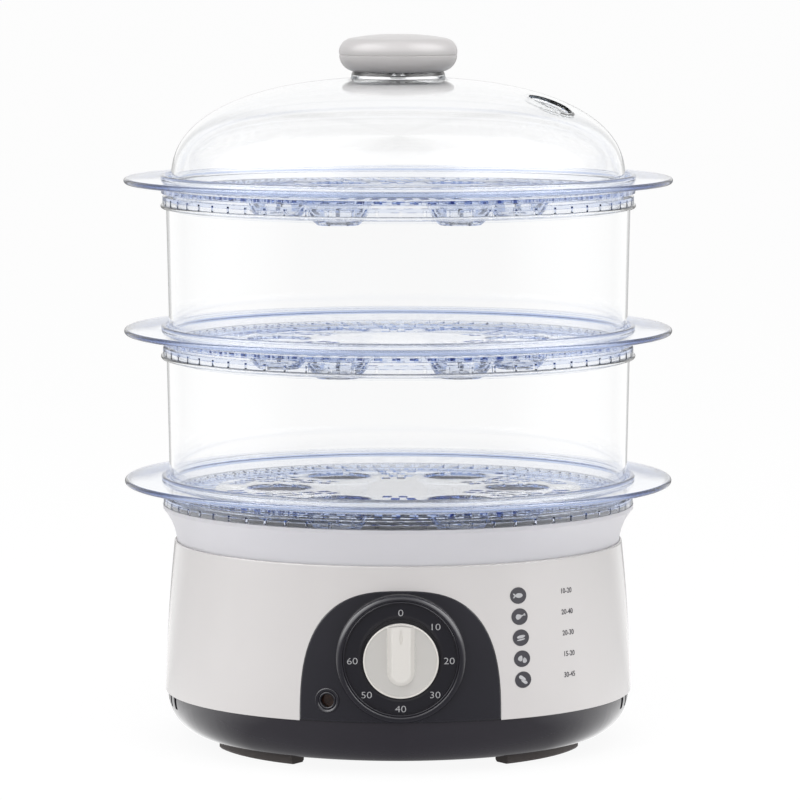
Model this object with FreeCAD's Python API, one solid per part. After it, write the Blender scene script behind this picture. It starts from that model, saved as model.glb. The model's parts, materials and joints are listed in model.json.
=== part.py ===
import FreeCAD, Part
import math
import os

from FreeCAD import Vector

# Three-tier electric food steamer. Millimetres, +Z up, the front faces -Y.
# The origin is on the table, under the centre of the round base.

# Base: feet, pan, housing.
foot_height = 5.0
foot_edge_margin = 0.4
foot_width = 11.0
foot_start_angle = 34.0
foot_sweep_angle = 37.0
pan_height = 23.0
pan_wall = 2.4
pan_corner_radius = 22.0
housing_height = 79.0
housing_inset = 2.3
housing_flare = 5.0
housing_bulge = 0.8
housing_wall = 2.5
rim_thickness = 1.6
seam_step = 1.4
tongue_height = 2.5
rim_land = 5.5
rim_bead_height = 1.0
vent_count = 7
vent_width = 4.6
vent_height = 7.0
vent_pitch_angle = 5.2

# Water tank, heater and steam ring.
tank_wall = 2.0
tank_shelf_drop = 13.4
room_under_tank = 38.6
timer_to_tank_gap = 6.0
post_radius = 4.5
post_inset = 12.0
post_count = 4
boss_height = 5.0
boss_wall = 2.0
tank_corner_radius = 4.0
heater_hole_radius = 28.0
heater_flange_radius = 38.0
heater_flange_thickness = 2.5
heater_crown = 3.0
heater_crown_flat = 6.0
heater_body_depth = 6.5
heater_screw_count = 3
seal_thickness = 1.5
clamp_thickness = 2.0
element_inset = 9.0
element_radius = 3.2
element_gap_angle = 60.0
pin_radius = 1.8
pin_length = 11.0
thermostat_radius = 8.0
thermostat_height = 8.0
strap_half_width = 4.5
strap_thickness = 1.5
steam_ring_play = 2.0
steam_ring_wall = 2.0
steam_ring_top_gap = 9.0

# Control panel and timer.
panel_side_margin = 19.0
panel_top_margin = 1.7
panel_to_rim = 11.5
panel_exponent = 2.75
panel_proud = 0.4
panel_lip = 1.2
panel_lip_margin = 3.0
dial_foot_margin = 0.6
dial_ring_width = 3.9
dial_proud = 3.6
dial_recess = 2.6
well_depth = 3.0
dial_backing = 2.9
knob_radius = 19.2
knob_depth = 11.0
knob_wall = 2.0
grip_width = 14.0
grip_flat = 7.2
grip_height = 5.0
grip_end_margin = 6.4
hub_radius = 6.0
shaft_radius = 3.0
timer_radius = 21.5
timer_depth = 17.5
bell_radius = 15.0
bell_depth = 8.0
timer_screw_offset = 13.0
lamp_angle = -17.6
lamp_height = 39.0
lens_radius = 3.6
lens_recess = 2.2
bezel_radius = 6.2
bezel_height = 1.0

# Stack: juice tray, three trays, two bowls, lid.
stack_radius = 121.1
foot_play = 1.5
sheet = 2.0
juice_rise = 20.1
juice_step = 10.0
juice_waist_inset = 1.2
juice_rim_overhang = 0.3
chimney_play = 4.0
chimney_height = 12.0
flange_width = 22.4
flange_thickness = 2.2
lip_thickness = 3.2
skirt_depth = 12.4
skirt_inset = 1.1
tooth_count = 64
tooth_gap = 1.6
recess_depth = 4.3
locating_depth = 16.0
bead_rise = 3.2
bowl_height = 71.4
bowl_draft = 1.5
bowl_rim_flare = 3.0
disc_radius = 38.7
cup_count = 6
cup_to_disc_gap = 4.0
cup_mouth_radius = 16.9
cup_bottom_radius = 9.4
cup_depth = 14.0
cup_drain_radius = 5.0
cup_border = 3.6
slot_width = 4.6
slot_pitch = 8.3
slot_length = 9.1
slot_row_gap = 1.95
rim_slot_margin = 2.7
rim_slot_length = 3.3
long_slot_gap = 1.6
long_slot_length = 14.0
plain_ring_width = 5.1
lid_exponent = 2.35
lid_side_inset = 1.1
lid_rise = 54.2
lid_wall = 2.2
neck_radius = 25.1
neck_height = 3.5
neck_taper = 0.8
lid_knob_radius = 31.1
lid_knob_foot_radius = 23.2
lid_knob_body_height = 8.9
lid_knob_cap_height = 10.8
lid_knob_flat = 4.0
knob_shell = 2.4
steam_vent_inset = 34.0
steam_vent_angle = -23.0
steam_vent_radius = 12.0
steam_vent_depth = 2.6
steam_vent_wall = 1.6
steam_vent_slot = 8.0
steam_vent_slot_width = 2.6
steam_vent_slot_shift = 4.5

# Clearances shared by the fits.
lift_clearance = 0.8
knob_clearance = 1.0
panel_clearance = 0.3
shaft_clearance = 0.05
thread_clearance = 0.05
round_clearance = 0.3
knob_lift = 0.6
seal_clearance = 0.5

# Screws and wiring.
screw_radius = 1.6
screw_head_radius = 3.1
screw_head_height = 2.0
screw_hole_clearance = 0.2
case_screw_depth = 3.0
lid_screw_radius = 1.5
wire_radius = 1.3
gland_radius = 6.0
gland_flange_radius = 9.0
gland_bore_radius = 3.6
gland_height = 42.0
terminal_block_size = (30.0, 16.0, 12.0)
terminal_block_y = 46.0
terminal_pitch = 9.0

# Heights above the table.
pan_floor = foot_height + pan_wall
boss_top = pan_floor + boss_height
case_screw_seat = foot_height + case_screw_depth
block_top = pan_floor + terminal_block_size[2]
seam_height = foot_height + pan_height
housing_top = seam_height + housing_height
tank_top = housing_top - rim_thickness
tank_shelf = tank_top - tank_shelf_drop
tank_floor = pan_floor + room_under_tank
tank_under = tank_floor - tank_wall
clamp_low = tank_under - clamp_thickness
flange_under = tank_floor + seal_thickness
plate_under = flange_under - heater_body_depth
element_height = plate_under - element_radius
pin_low = element_height - pin_length
juice_rim_height = housing_top + juice_rise
lower_flange = juice_rim_height + skirt_depth
tier_pitch = bowl_height + skirt_depth - recess_depth
flange_heights = {
    "lower": lower_flange,
    "middle": lower_flange + tier_pitch,
    "top": lower_flange + 2 * tier_pitch,
}
lid_level = flange_heights["top"]

# Radii that follow from the ones above.
housing_top_radius = stack_radius - housing_inset
housing_seam_radius = housing_top_radius + housing_flare
pan_radius = housing_seam_radius - seam_step
foot_outer_radius = pan_radius - pan_corner_radius - foot_edge_margin
boss_radius = post_radius + boss_wall
recess_radius = stack_radius + foot_play
flange_radius = recess_radius + flange_width
bowl_rim_radius = stack_radius + bowl_draft + bowl_rim_flare
skirt_radius = bowl_rim_radius - skirt_inset
floor_radius = stack_radius - sheet - 0.5
locating_radius = stack_radius + bowl_draft - sheet - lift_clearance - 1.2
tank_radius = housing_top_radius - rim_land + round_clearance
tank_outer_radius = tank_radius + tank_wall
juice_drop_radius = housing_top_radius - rim_land - lift_clearance
juice_waist_radius = housing_top_radius - juice_waist_inset
juice_rim_radius = skirt_radius + juice_rim_overhang
cup_circle = disc_radius + cup_to_disc_gap + cup_border + cup_mouth_radius
lid_side_radius = stack_radius - lid_side_inset
steam_vent_circle = lid_side_radius - steam_vent_inset
heater_screw_circle = (heater_hole_radius + heater_flange_radius) / 2
element_circle = heater_hole_radius - element_inset
pin_x = element_circle * math.sin(math.radians(element_gap_angle / 2))
pin_y = -element_circle * math.cos(math.radians(element_gap_angle / 2))
seal_inner_radius = heater_hole_radius + seal_clearance
screw_hole_radius = screw_radius + screw_hole_clearance
steam_ring_radius = heater_flange_radius + steam_ring_play + steam_ring_wall
steam_ring_height = housing_top - juice_step - steam_ring_top_gap - tank_floor
chimney_radius = steam_ring_radius + chimney_play
neck_start = lid_rise * (1 - (neck_radius / lid_side_radius) ** lid_exponent) ** (1 / lid_exponent)
neck_top = neck_start + neck_height

# The dial fills the panel's height, and the panel is arched over it.
dial_radius = (housing_height - panel_to_rim - dial_foot_margin - panel_top_margin) / 2
dial_height = seam_height + dial_foot_margin + dial_radius
dial_face_radius = dial_radius - dial_ring_width
panel_rise = housing_height - panel_to_rim
panel_half_width = dial_radius + panel_side_margin


def housing_radius(height):
    # The housing's outside is one arc, from the seam over the bulge to the top edge.
    share = (height - seam_height) / housing_height
    straight = housing_seam_radius + (housing_top_radius - housing_seam_radius) * share
    return straight + 4 * housing_bulge * share * (1 - share)


# Planes along Y, from the raised ring round the dial back to the timer and the tank.
dial_front = -(housing_radius(dial_height) + dial_proud)
dial_face = dial_front + dial_recess
well_floor = dial_face + well_depth
well_radius = knob_radius + knob_clearance
panel_back = well_floor + dial_backing
timer_back = panel_back + timer_depth
tank_well_radius = -timer_back - bell_depth - timer_to_tank_gap
post_circle_radius = tank_well_radius - post_inset
knob_back = well_floor - knob_lift
knob_front = knob_back - knob_depth
block_front = terminal_block_y - terminal_block_size[1] / 2
deep_inside = -60.0

axis_z = Vector(0, 0, 1)
axis_y = Vector(0, 1, 0)
centre = Vector(0, 0, 0)


def outline(start, steps, place):
    # A step is a point after a straight run, or a pair of points after an arc: through, end.
    edges = []
    here = place(*start)
    for step in list(steps) + [start]:
        if isinstance(step[0], tuple):
            through = place(*step[0])
            end = place(*step[1])
            edges.append(Part.Arc(here, through, end).toShape())
        else:
            end = place(*step)
            if here.distanceToPoint(end) > 0.001:
                edges.append(Part.LineSegment(here, end).toShape())
        here = end
    return Part.Wire(edges)


def beside_axis(radius, height):
    return Vector(radius, 0, height)


def lathe(start, *steps, turn=360.0):
    # A profile of radii and heights, turned about the vertical axis.
    profile = outline(start, steps, beside_axis)
    return Part.Face(profile).revolve(centre, axis_z, turn)


def upright(radius, low, high, x=0.0, y=0.0):
    return Part.makeCylinder(radius, high - low, Vector(x, y, low))


def tube(outer, inner, low, high):
    return lathe((inner, low), (outer, low), (outer, high), (inner, high))


def facing(radius, front, back, x=0.0, z=0.0):
    # A cylinder along Y from its front plane to its back plane.
    return Part.makeCylinder(radius, back - front, Vector(x, front, z), axis_y)


def box(low, high):
    size = [top - bottom for top, bottom in zip(high, low)]
    return Part.makeBox(*size, Vector(*low))


def turned(shape, degrees):
    copy = shape.copy()
    copy.rotate(centre, axis_z, degrees)
    return copy


def moved(shape, x=0.0, y=0.0, z=0.0):
    copy = shape.copy()
    copy.translate(Vector(x, y, z))
    return copy


def ring_of(shape, count, first=0.0):
    step = 360.0 / count
    return [turned(shape, first + index * step) for index in range(count)]


def quarter_curve(half_width, rise, exponent, least=0.0, count=14):
    # A superellipse from the side at the foot to where its radius is the least one.
    end = math.acos((least / half_width) ** (exponent / 2))
    points = []
    for index in range(count + 1):
        angle = end * index / count
        radius = half_width * math.cos(angle) ** (2 / exponent)
        height = rise * math.sin(angle) ** (2 / exponent)
        points.append((radius, height))
    return points


def smooth(points):
    curve = Part.BSplineCurve()
    curve.interpolate(points)
    return curve.toShape()


def path_wire(points):
    # Straight runs joined by tangent arcs, as large as the shorter run beside each allows.
    edges = []
    here = points[0]
    for before, corner, after in zip(points, points[1:], points[2:]):
        back = before - corner
        ahead = after - corner
        shorter = min(back.Length, ahead.Length)
        back.normalize()
        ahead.normalize()
        reach = 0.45 * shorter
        middle = back + ahead
        middle.normalize()
        half_turn = (math.pi - back.getAngle(ahead)) / 2
        radius = reach / math.tan(half_turn)
        sink = radius / math.cos(half_turn) - radius
        arc_start = corner + back * reach
        arc_end = corner + ahead * reach
        edges.append(Part.LineSegment(here, arc_start).toShape())
        edges.append(Part.Arc(arc_start, corner + middle * sink, arc_end).toShape())
        here = arc_end
    edges.append(Part.LineSegment(here, points[-1]).toShape())
    return Part.Wire(edges)


def wire_along(points):
    route = [Vector(*point) for point in points]
    section = Part.Wire(Part.makeCircle(wire_radius, route[0], route[1] - route[0]))
    return path_wire(route).makePipeShell([section], True, False)


def keep(name, shape):
    # Joined pieces lose their inner seams, and every solid faces outwards.
    solids = []
    for solid in shape.Solids:
        if solid.Volume < 0:
            solid = solid.reversed()
        solids.append(solid)
    result = solids[0] if len(solids) == 1 else Part.makeCompound(solids)
    result.exportStep("parts/" + name + ".step")
    volume = sum(solid.Volume for solid in solids)
    print(name, len(solids), round(volume), "valid" if result.isValid() else "INVALID")


def housing_band(inner_offset, outer_offset, low, high):
    # A ring that follows the housing's outside between two offsets from it.
    middle = (low + high) / 2

    def at(height, offset):
        return (housing_radius(height) + offset, height)

    return lathe(
        at(low, inner_offset),
        at(low, outer_offset),
        (at(middle, outer_offset), at(high, outer_offset)),
        at(high, inner_offset),
        (at(middle, inner_offset), at(low, inner_offset)),
    )


def arch_prism(grow, low, front, back):
    # The control panel's arched outline as seen from the front, pushed along Y.
    half_width = panel_half_width + grow
    rise = panel_rise + grow
    side = quarter_curve(half_width, rise, panel_exponent)
    right = [Vector(x, front, seam_height + z) for x, z in side]
    left = [Vector(-x, front, seam_height + z) for x, z in reversed(side)]
    foot_right = Vector(half_width, front, low)
    foot_left = Vector(-half_width, front, low)
    edges = [smooth(right), smooth(left)]
    edges.append(Part.LineSegment(left[-1], foot_left).toShape())
    edges.append(Part.LineSegment(foot_left, foot_right).toShape())
    edges.append(Part.LineSegment(foot_right, right[0]).toShape())
    return Part.Face(Part.Wire(edges)).extrude(Vector(0, back - front, 0))


def make_feet():
    inner = foot_outer_radius - foot_width
    ease = 1.2
    pad = lathe(
        (inner + ease, 0),
        (foot_outer_radius - ease, 0),
        (foot_outer_radius, ease),
        (foot_outer_radius, foot_height),
        (inner, foot_height),
        (inner, ease),
        turn=foot_sweep_angle,
    )
    names = ("foot_front_right", "foot_back_right", "foot_back_left", "foot_front_left")
    starts = (
        -90 + foot_start_angle,
        90 - foot_start_angle - foot_sweep_angle,
        90 + foot_start_angle,
        270 - foot_start_angle - foot_sweep_angle,
    )
    for name, start in zip(names, starts):
        keep(name, turned(pad, start))


def post_places():
    for index in range(post_count):
        angle = math.radians(45 + index * 360 / post_count)
        yield post_circle_radius * math.cos(angle), post_circle_radius * math.sin(angle)


def make_base_pan():
    corner = pan_corner_radius
    inner_corner = corner - pan_wall
    turn_radius = pan_radius - corner
    turn_height = foot_height + corner
    slant = math.sqrt(0.5)
    inside = pan_radius - pan_wall
    tongue = housing_seam_radius - housing_wall - panel_clearance
    shell = lathe(
        (0, foot_height),
        (turn_radius, foot_height),
        ((turn_radius + corner * slant, turn_height - corner * slant), (pan_radius, turn_height)),
        (pan_radius, seam_height),
        (tongue, seam_height),
        (tongue, seam_height + tongue_height),
        (inside, seam_height + tongue_height),
        (inside, turn_height),
        (
            (turn_radius + inner_corner * slant, turn_height - inner_corner * slant),
            (turn_radius, pan_floor),
        ),
        (0, pan_floor),
    )
    bosses = [upright(boss_radius, foot_height, boss_top, x, y) for x, y in post_places()]
    shell = shell.fuse(bosses)
    holes = []
    for x, y in post_places():
        holes.append(upright(screw_head_radius + 0.3, foot_height - 1, case_screw_seat, x, y))
        holes.append(upright(screw_hole_radius, foot_height, boss_top + 1, x, y))
    slit = box((pan_radius - 8, -vent_width / 2, seam_height - vent_height),
               (pan_radius + 8, vent_width / 2, seam_height))
    for side in (0, 180):
        for index in range(vent_count):
            holes.append(turned(slit, side + (index - (vent_count - 1) / 2) * vent_pitch_angle))
    # The panel's lip hangs inside the seam here, so the tongue stops short of it.
    half = panel_half_width + panel_lip_margin + 1.0
    holes.append(box((-half, -pan_radius - 5, seam_height),
                     (half, deep_inside, seam_height + tongue_height + 1)))
    keep("base_pan", shell.cut(holes).removeSplitter())


def make_housing():
    low = seam_height
    top = housing_top
    middle = (low + top) / 2
    inner_edge = housing_top_radius - rim_land
    bead = rim_bead_height
    under_rim = top - rim_thickness
    shell = lathe(
        (housing_seam_radius - housing_wall, low),
        (housing_seam_radius, low),
        ((housing_radius(middle), middle), (housing_top_radius, top)),
        ((housing_top_radius - 0.3, top + bead * 0.8), (housing_top_radius - 0.7, top + bead)),
        (housing_top_radius - 0.7, top),
        (inner_edge, top),
        (inner_edge, under_rim),
        (housing_radius(under_rim) - housing_wall, under_rim),
        (
            (housing_radius(middle) - housing_wall, middle),
            (housing_seam_radius - housing_wall, low),
        ),
    )
    window = arch_prism(0, low - 5, -housing_seam_radius - 10, deep_inside)
    gland_hole = facing(gland_radius + 0.2, 60, housing_seam_radius + 10, z=gland_height)
    keep("housing", shell.cut([window, gland_hole]).removeSplitter())


def make_water_tank():
    well_wall = tank_well_radius
    inner_well = well_wall - tank_wall
    shelf_under = tank_shelf - tank_wall
    ease = tank_corner_radius
    shell = lathe(
        (heater_hole_radius, tank_under),
        (well_wall - ease, tank_under),
        (well_wall, tank_under + ease),
        (well_wall, shelf_under),
        (tank_outer_radius - ease, shelf_under),
        (tank_outer_radius, shelf_under + ease),
        (tank_outer_radius, tank_top),
        (tank_radius, tank_top),
        (tank_radius, tank_shelf + ease),
        (tank_radius - ease, tank_shelf),
        (inner_well, tank_shelf),
        (inner_well, tank_floor + ease),
        (inner_well - ease, tank_floor),
        (heater_hole_radius, tank_floor),
    )
    posts = [upright(post_radius, boss_top, tank_under + 0.5, x, y) for x, y in post_places()]
    shell = shell.fuse(posts)
    holes = []
    for x, y in post_places():
        holes.append(upright(screw_radius + thread_clearance, boss_top - 1, boss_top + 15, x, y))
    hole = upright(screw_hole_radius, tank_under - 1, tank_floor + 1, heater_screw_circle)
    holes.extend(ring_of(hole, heater_screw_count, 90))
    keep("water_tank", shell.cut(holes).removeSplitter())


def make_case_screws():
    head_top = case_screw_seat
    screws = []
    for x, y in post_places():
        head = upright(screw_head_radius, head_top - screw_head_height, head_top, x, y)
        shank = upright(screw_radius, head_top, boss_top + 14, x, y)
        slot = box((x - 2.2, y - 0.4, head_top - screw_head_height - 1),
                   (x + 2.2, y + 0.4, head_top - screw_head_height + 0.8))
        screws.append(head.fuse(shank).cut(slot))
    keep("case_screws", Part.makeCompound(screws))


def make_heater():
    flange_top = flange_under + heater_flange_thickness
    body_radius = heater_hole_radius - 1.0
    crown_start = heater_flange_radius - 7.0
    plate = lathe(
        (0, plate_under),
        (body_radius, plate_under),
        (body_radius, flange_under),
        (heater_flange_radius, flange_under),
        (heater_flange_radius, flange_top),
        (crown_start, flange_top),
        (
            (crown_start * 0.6, flange_top + heater_crown * 0.74),
            (heater_crown_flat, flange_top + heater_crown),
        ),
        (0, flange_top + heater_crown),
    )
    pilot = upright(screw_radius + thread_clearance, flange_under - 1, flange_under + 1.8,
                    heater_screw_circle)
    keep("heater_plate", plate.cut(ring_of(pilot, heater_screw_count, 90)))

    hole = upright(screw_hole_radius, clamp_low - 1, flange_under + 1, heater_screw_circle)
    holes = ring_of(hole, heater_screw_count, 90)
    seal = tube(heater_flange_radius, seal_inner_radius, tank_floor, flange_under)
    keep("heater_seal", seal.cut(holes))
    clamp = tube(heater_flange_radius, seal_inner_radius, clamp_low, tank_under)
    keep("heater_clamp", clamp.cut(holes))

    head = upright(screw_head_radius, clamp_low - screw_head_height, clamp_low,
                   heater_screw_circle)
    shank = upright(screw_radius, clamp_low, flange_under + 1.5, heater_screw_circle)
    screw = head.fuse(shank)
    keep("heater_screws", Part.makeCompound(ring_of(screw, heater_screw_count, 90)))


def make_heating_element():
    # A sheathed tube bent to an open ring, with a contact pin down from each end.
    section = Part.Face(Part.Wire(Part.makeCircle(
        element_radius, Vector(element_circle, 0, element_height), axis_y)))
    ring = section.revolve(centre, axis_z, 360 - element_gap_angle)
    ring = turned(ring, -90 + element_gap_angle / 2)
    pins = [upright(pin_radius, pin_low, element_height, side * pin_x, pin_y) for side in (-1, 1)]
    keep("heating_element", ring.fuse(pins))


def make_thermostat():
    low = plate_under - thermostat_height
    can = upright(thermostat_radius, low, plate_under)
    keep("thermostat", can.makeFillet(0.6, [can.Edges[0]]))

    strap_low = low - strap_thickness
    reach = (heater_hole_radius + heater_flange_radius) / 2
    bar = box((-reach, -strap_half_width, strap_low), (reach, strap_half_width, low))
    legs = []
    for side in (-1, 1):
        inner = side * reach - strap_thickness / 2
        legs.append(box((inner, -strap_half_width, strap_low),
                        (inner + strap_thickness, strap_half_width, clamp_low)))
    keep("thermostat_bracket", bar.fuse(legs).removeSplitter())

    fuse_radius = 2.2
    body = Part.makeCylinder(fuse_radius, 12.0, Vector(-6, 0, strap_low - fuse_radius),
                             Vector(1, 0, 0))
    leads = Part.makeCylinder(0.6, 24.0, Vector(-12, 0, strap_low - fuse_radius),
                              Vector(1, 0, 0))
    keep("thermal_fuse", body.fuse(leads))


def make_steam_ring():
    inner = steam_ring_radius - steam_ring_wall
    low = tank_floor
    high = tank_floor + steam_ring_height
    lead_in = 5.0
    wall = lathe(
        (inner, low),
        (steam_ring_radius, low),
        (steam_ring_radius, high - lead_in),
        (steam_ring_radius - 3, high),
        (inner - 3, high),
        (inner, high - lead_in),
    )
    notch = box((0, -5, low - 1), (steam_ring_radius + 5, 5, low + 6))
    keep("steam_ring", wall.cut(ring_of(notch, 4)))


def lamp_place(shape):
    # The lamp's pieces are made facing the front, then swung to their place on the panel.
    return turned(shape, lamp_angle)


def make_control_panel():
    far_front = dial_front - 20
    low = seam_height + panel_clearance
    top = seam_height + panel_rise + panel_lip_margin + 1
    skin = housing_band(-housing_wall, panel_proud, low, top)
    skin = skin.common(arch_prism(-panel_clearance, low, far_front, deep_inside))
    lip_outer = -housing_wall - round_clearance / 3
    lip = housing_band(lip_outer - panel_lip, lip_outer, low, top)
    lip = lip.common(arch_prism(panel_lip_margin, low, far_front, deep_inside))
    bridge = housing_band(lip_outer - 0.5, -housing_wall + 0.5, low, top)
    bridge = bridge.common(arch_prism(-panel_clearance, low, far_front, deep_inside))
    boss = facing(dial_radius, dial_front, panel_back, z=dial_height)
    crest = [edge for edge in boss.Edges if abs(edge.CenterOfMass.y - dial_front) < 0.01]
    boss = boss.makeFillet(1.6, crest[:1])
    bezel_front = -(housing_radius(lamp_height) + bezel_height)
    bezel = lamp_place(facing(bezel_radius, bezel_front, -housing_radius(lamp_height) + 4,
                              z=lamp_height))
    body = skin.fuse([lip, bridge, boss, bezel])
    dish = Part.makeCone(dial_face_radius + 0.6, dial_face_radius - 0.6, dial_recess + 0.4,
                         Vector(0, dial_front - 0.4, dial_height), axis_y)
    well = facing(well_radius, dial_face - 1, well_floor, z=dial_height)
    shaft_hole = facing(shaft_radius + 1.5, well_floor - 1, panel_back + 1, z=dial_height)
    pocket = facing(timer_radius + 1.5, panel_back, deep_inside, z=dial_height)
    lens_front = bezel_front - 1
    lens_hole = lamp_place(facing(lens_radius + 0.1, lens_front, deep_inside, z=lamp_height))
    bezel_dish = lamp_place(Part.makeCone(bezel_radius - 1.0, lens_radius + 0.4, 1.2,
                                          Vector(0, bezel_front, lamp_height), axis_y))
    lamp_room = lamp_place(facing(lens_radius + 2.2, -lens_back(), deep_inside, z=lamp_height))
    cuts = [dish, well, shaft_hole, pocket, lens_hole, bezel_dish, lamp_room]
    for side in (-1, 1):
        x = side * timer_screw_offset
        cuts.append(facing(screw_hole_radius, well_floor - 1, panel_back + 1, x, dial_height))
        cuts.append(facing(screw_head_radius + 0.2, well_floor - 1, well_floor + 1.5, x,
                           dial_height))
    keep("control_panel", body.cut(cuts).removeSplitter())


def lens_back():
    return housing_radius(lamp_height) - housing_wall - panel_lip - 0.4


def make_indicator():
    front = -(housing_radius(lamp_height) - lens_recess)
    back = -lens_back()
    stem = facing(lens_radius, front, back + 1.4, z=lamp_height)
    flange = facing(lens_radius + 1.8, back, back + 1.4, z=lamp_height)
    keep("indicator_lens", lamp_place(stem.fuse(flange).removeSplitter()))
    holder_back = back + 14.0
    holder = facing(lens_radius + 1.8, back + 1.4, holder_back, z=lamp_height)
    room = facing(lens_radius, back + 1.3, holder_back - 2.0, z=lamp_height)
    keep("lamp_holder", lamp_place(holder.cut(room)))
    lamp = facing(lens_radius - 0.6, back + 3.0, holder_back - 2.0, z=lamp_height)
    keep("indicator_lamp", lamp_place(lamp))


def make_timer():
    bore_depth = 8.0
    body = facing(timer_radius, panel_back, timer_back, z=dial_height)
    tab_low = dial_height - timer_radius - 5.0
    tabs = []
    for side in (-1, 1):
        tabs.append(box((side * 8 - 2.4, timer_back - 9, tab_low),
                        (side * 8 + 2.4, timer_back - 8.2, dial_height - timer_radius + 3)))
    body = body.fuse(tabs)
    cuts = [facing(shaft_radius + shaft_clearance, panel_back - 1, panel_back + bore_depth,
                   z=dial_height)]
    for side in (-1, 1):
        cuts.append(facing(screw_radius + thread_clearance, panel_back - 1, panel_back + 7,
                           side * timer_screw_offset, dial_height))
    keep("timer_body", body.cut(cuts))

    screws = []
    for side in (-1, 1):
        x = side * timer_screw_offset
        head = facing(screw_head_radius, well_floor, well_floor + 1.5, x, dial_height)
        shank = facing(screw_radius, well_floor + 1.5, panel_back + 6.5, x, dial_height)
        slot = box((x - 2.2, well_floor - 1, dial_height - 0.4),
                   (x + 2.2, well_floor + 0.7, dial_height + 0.4))
        screws.append(head.fuse(shank).cut(slot))
    keep("timer_screws", Part.makeCompound(screws))

    # The bell is a thin cup over a post on the back of the timer.
    crown = timer_back + bell_depth
    cup = facing(bell_radius, timer_back + 1.5, crown, z=dial_height)
    back_edge = [edge for edge in cup.Edges if abs(edge.CenterOfMass.y - crown) < 0.01]
    cup = cup.makeFillet(3.0, back_edge[:1])
    hollow = facing(bell_radius - 1.0, timer_back + 1.4, crown - 1.0, z=dial_height)
    inner_edge = [edge for edge in hollow.Edges if abs(edge.CenterOfMass.y - crown + 1.0) < 0.01]
    hollow = hollow.makeFillet(2.2, inner_edge[:1])
    post = facing(2.5, timer_back, crown - 0.5, z=dial_height)
    keep("timer_bell", cup.cut(hollow).fuse(post).removeSplitter())

    shaft = facing(shaft_radius, knob_front + knob_wall + 1.0, panel_back + bore_depth - 0.5,
                   z=dial_height)
    keep("timer_shaft", shaft)


def grip_section(width, end_radius, plane):
    # The raised grip runs from the knob's top edge to a round end near its bottom edge.
    top = dial_height + math.sqrt((knob_radius - 1.4) ** 2 - (width / 2) ** 2)
    bottom = dial_height - knob_radius + grip_end_margin
    half = width / 2
    start = (half, top)
    steps = ((-half, top), (-half, bottom + end_radius),
             ((0, bottom), (half, bottom + end_radius)))
    return outline(start, steps, lambda x, z: Vector(x, plane, z))


def make_timer_knob():
    disc = facing(knob_radius, knob_front, knob_back, z=dial_height)
    edge = [edge for edge in disc.Edges if abs(edge.CenterOfMass.y - knob_front) < 0.01]
    disc = disc.makeFillet(1.4, edge[:1])
    wide = grip_section(grip_width, grip_width / 2, knob_front)
    slim = grip_section(grip_flat, grip_flat / 2, knob_front - grip_height)
    grip = Part.makeLoft([wide, slim], True, True)
    hollow = facing(knob_radius - knob_wall, knob_front + knob_wall + 0.5, knob_back + 1,
                    z=dial_height)
    hub = facing(hub_radius, knob_front + knob_wall, knob_back - 0.4, z=dial_height)
    bore = facing(shaft_radius + shaft_clearance, knob_front + knob_wall + 1.0, knob_back + 1,
                  z=dial_height)
    pointer_top = dial_height + knob_radius - 3.0
    pointer = box((-1.1, knob_front - grip_height - 1, pointer_top - 8.0),
                  (1.1, knob_front - grip_height + 0.8, pointer_top))
    body = disc.fuse(grip).cut(hollow).fuse(hub).cut([bore, pointer]).removeSplitter()
    keep("timer_knob", body)

    clip = facing(hub_radius + 0.9, knob_back - 3.4, knob_back - 1.4, z=dial_height)
    clip = clip.cut(facing(hub_radius + 0.05, knob_back - 4, knob_back, z=dial_height))
    gap = box((-1.5, knob_back - 4, dial_height - 10), (1.5, knob_back, dial_height - 3))
    keep("knob_clip", clip.cut(gap))


def make_gland():
    outside = housing_radius(gland_height)
    inner_end = outside - housing_wall - 5.0
    body = facing(gland_radius, inner_end, outside + 1.0, z=gland_height)
    seat = housing_radius(gland_height - gland_flange_radius)
    flange = facing(gland_flange_radius, seat, seat + 3.0, z=gland_height)
    nut = facing(gland_flange_radius - 1, inner_end, outside - housing_wall - 0.6,
                 z=gland_height)
    bore = facing(gland_bore_radius, inner_end - 1, seat + 4, z=gland_height)
    keep("cord_gland", body.fuse([flange, nut]).cut(bore).removeSplitter())


def make_terminals():
    half_width = terminal_block_size[0] / 2
    half_depth = terminal_block_size[1] / 2
    block = box((-half_width, terminal_block_y - half_depth, pan_floor),
                (half_width, terminal_block_y + half_depth, block_top))
    holes = []
    screws = []
    for index in (-1, 0, 1):
        x = index * terminal_pitch
        holes.append(upright(1.8, block_top - 4, block_top + 1, x, terminal_block_y))
        screws.append(upright(1.75, block_top - 4, block_top - 0.6, x, terminal_block_y))
    keep("terminal_block", block.cut(holes))
    keep("terminal_screws", Part.makeCompound(screws))
    tab = box((heater_flange_radius - 1, -3, clamp_low - 0.8),
              (heater_flange_radius + 9, 3, clamp_low))
    keep("earth_tab", turned(tab, 60))


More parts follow.
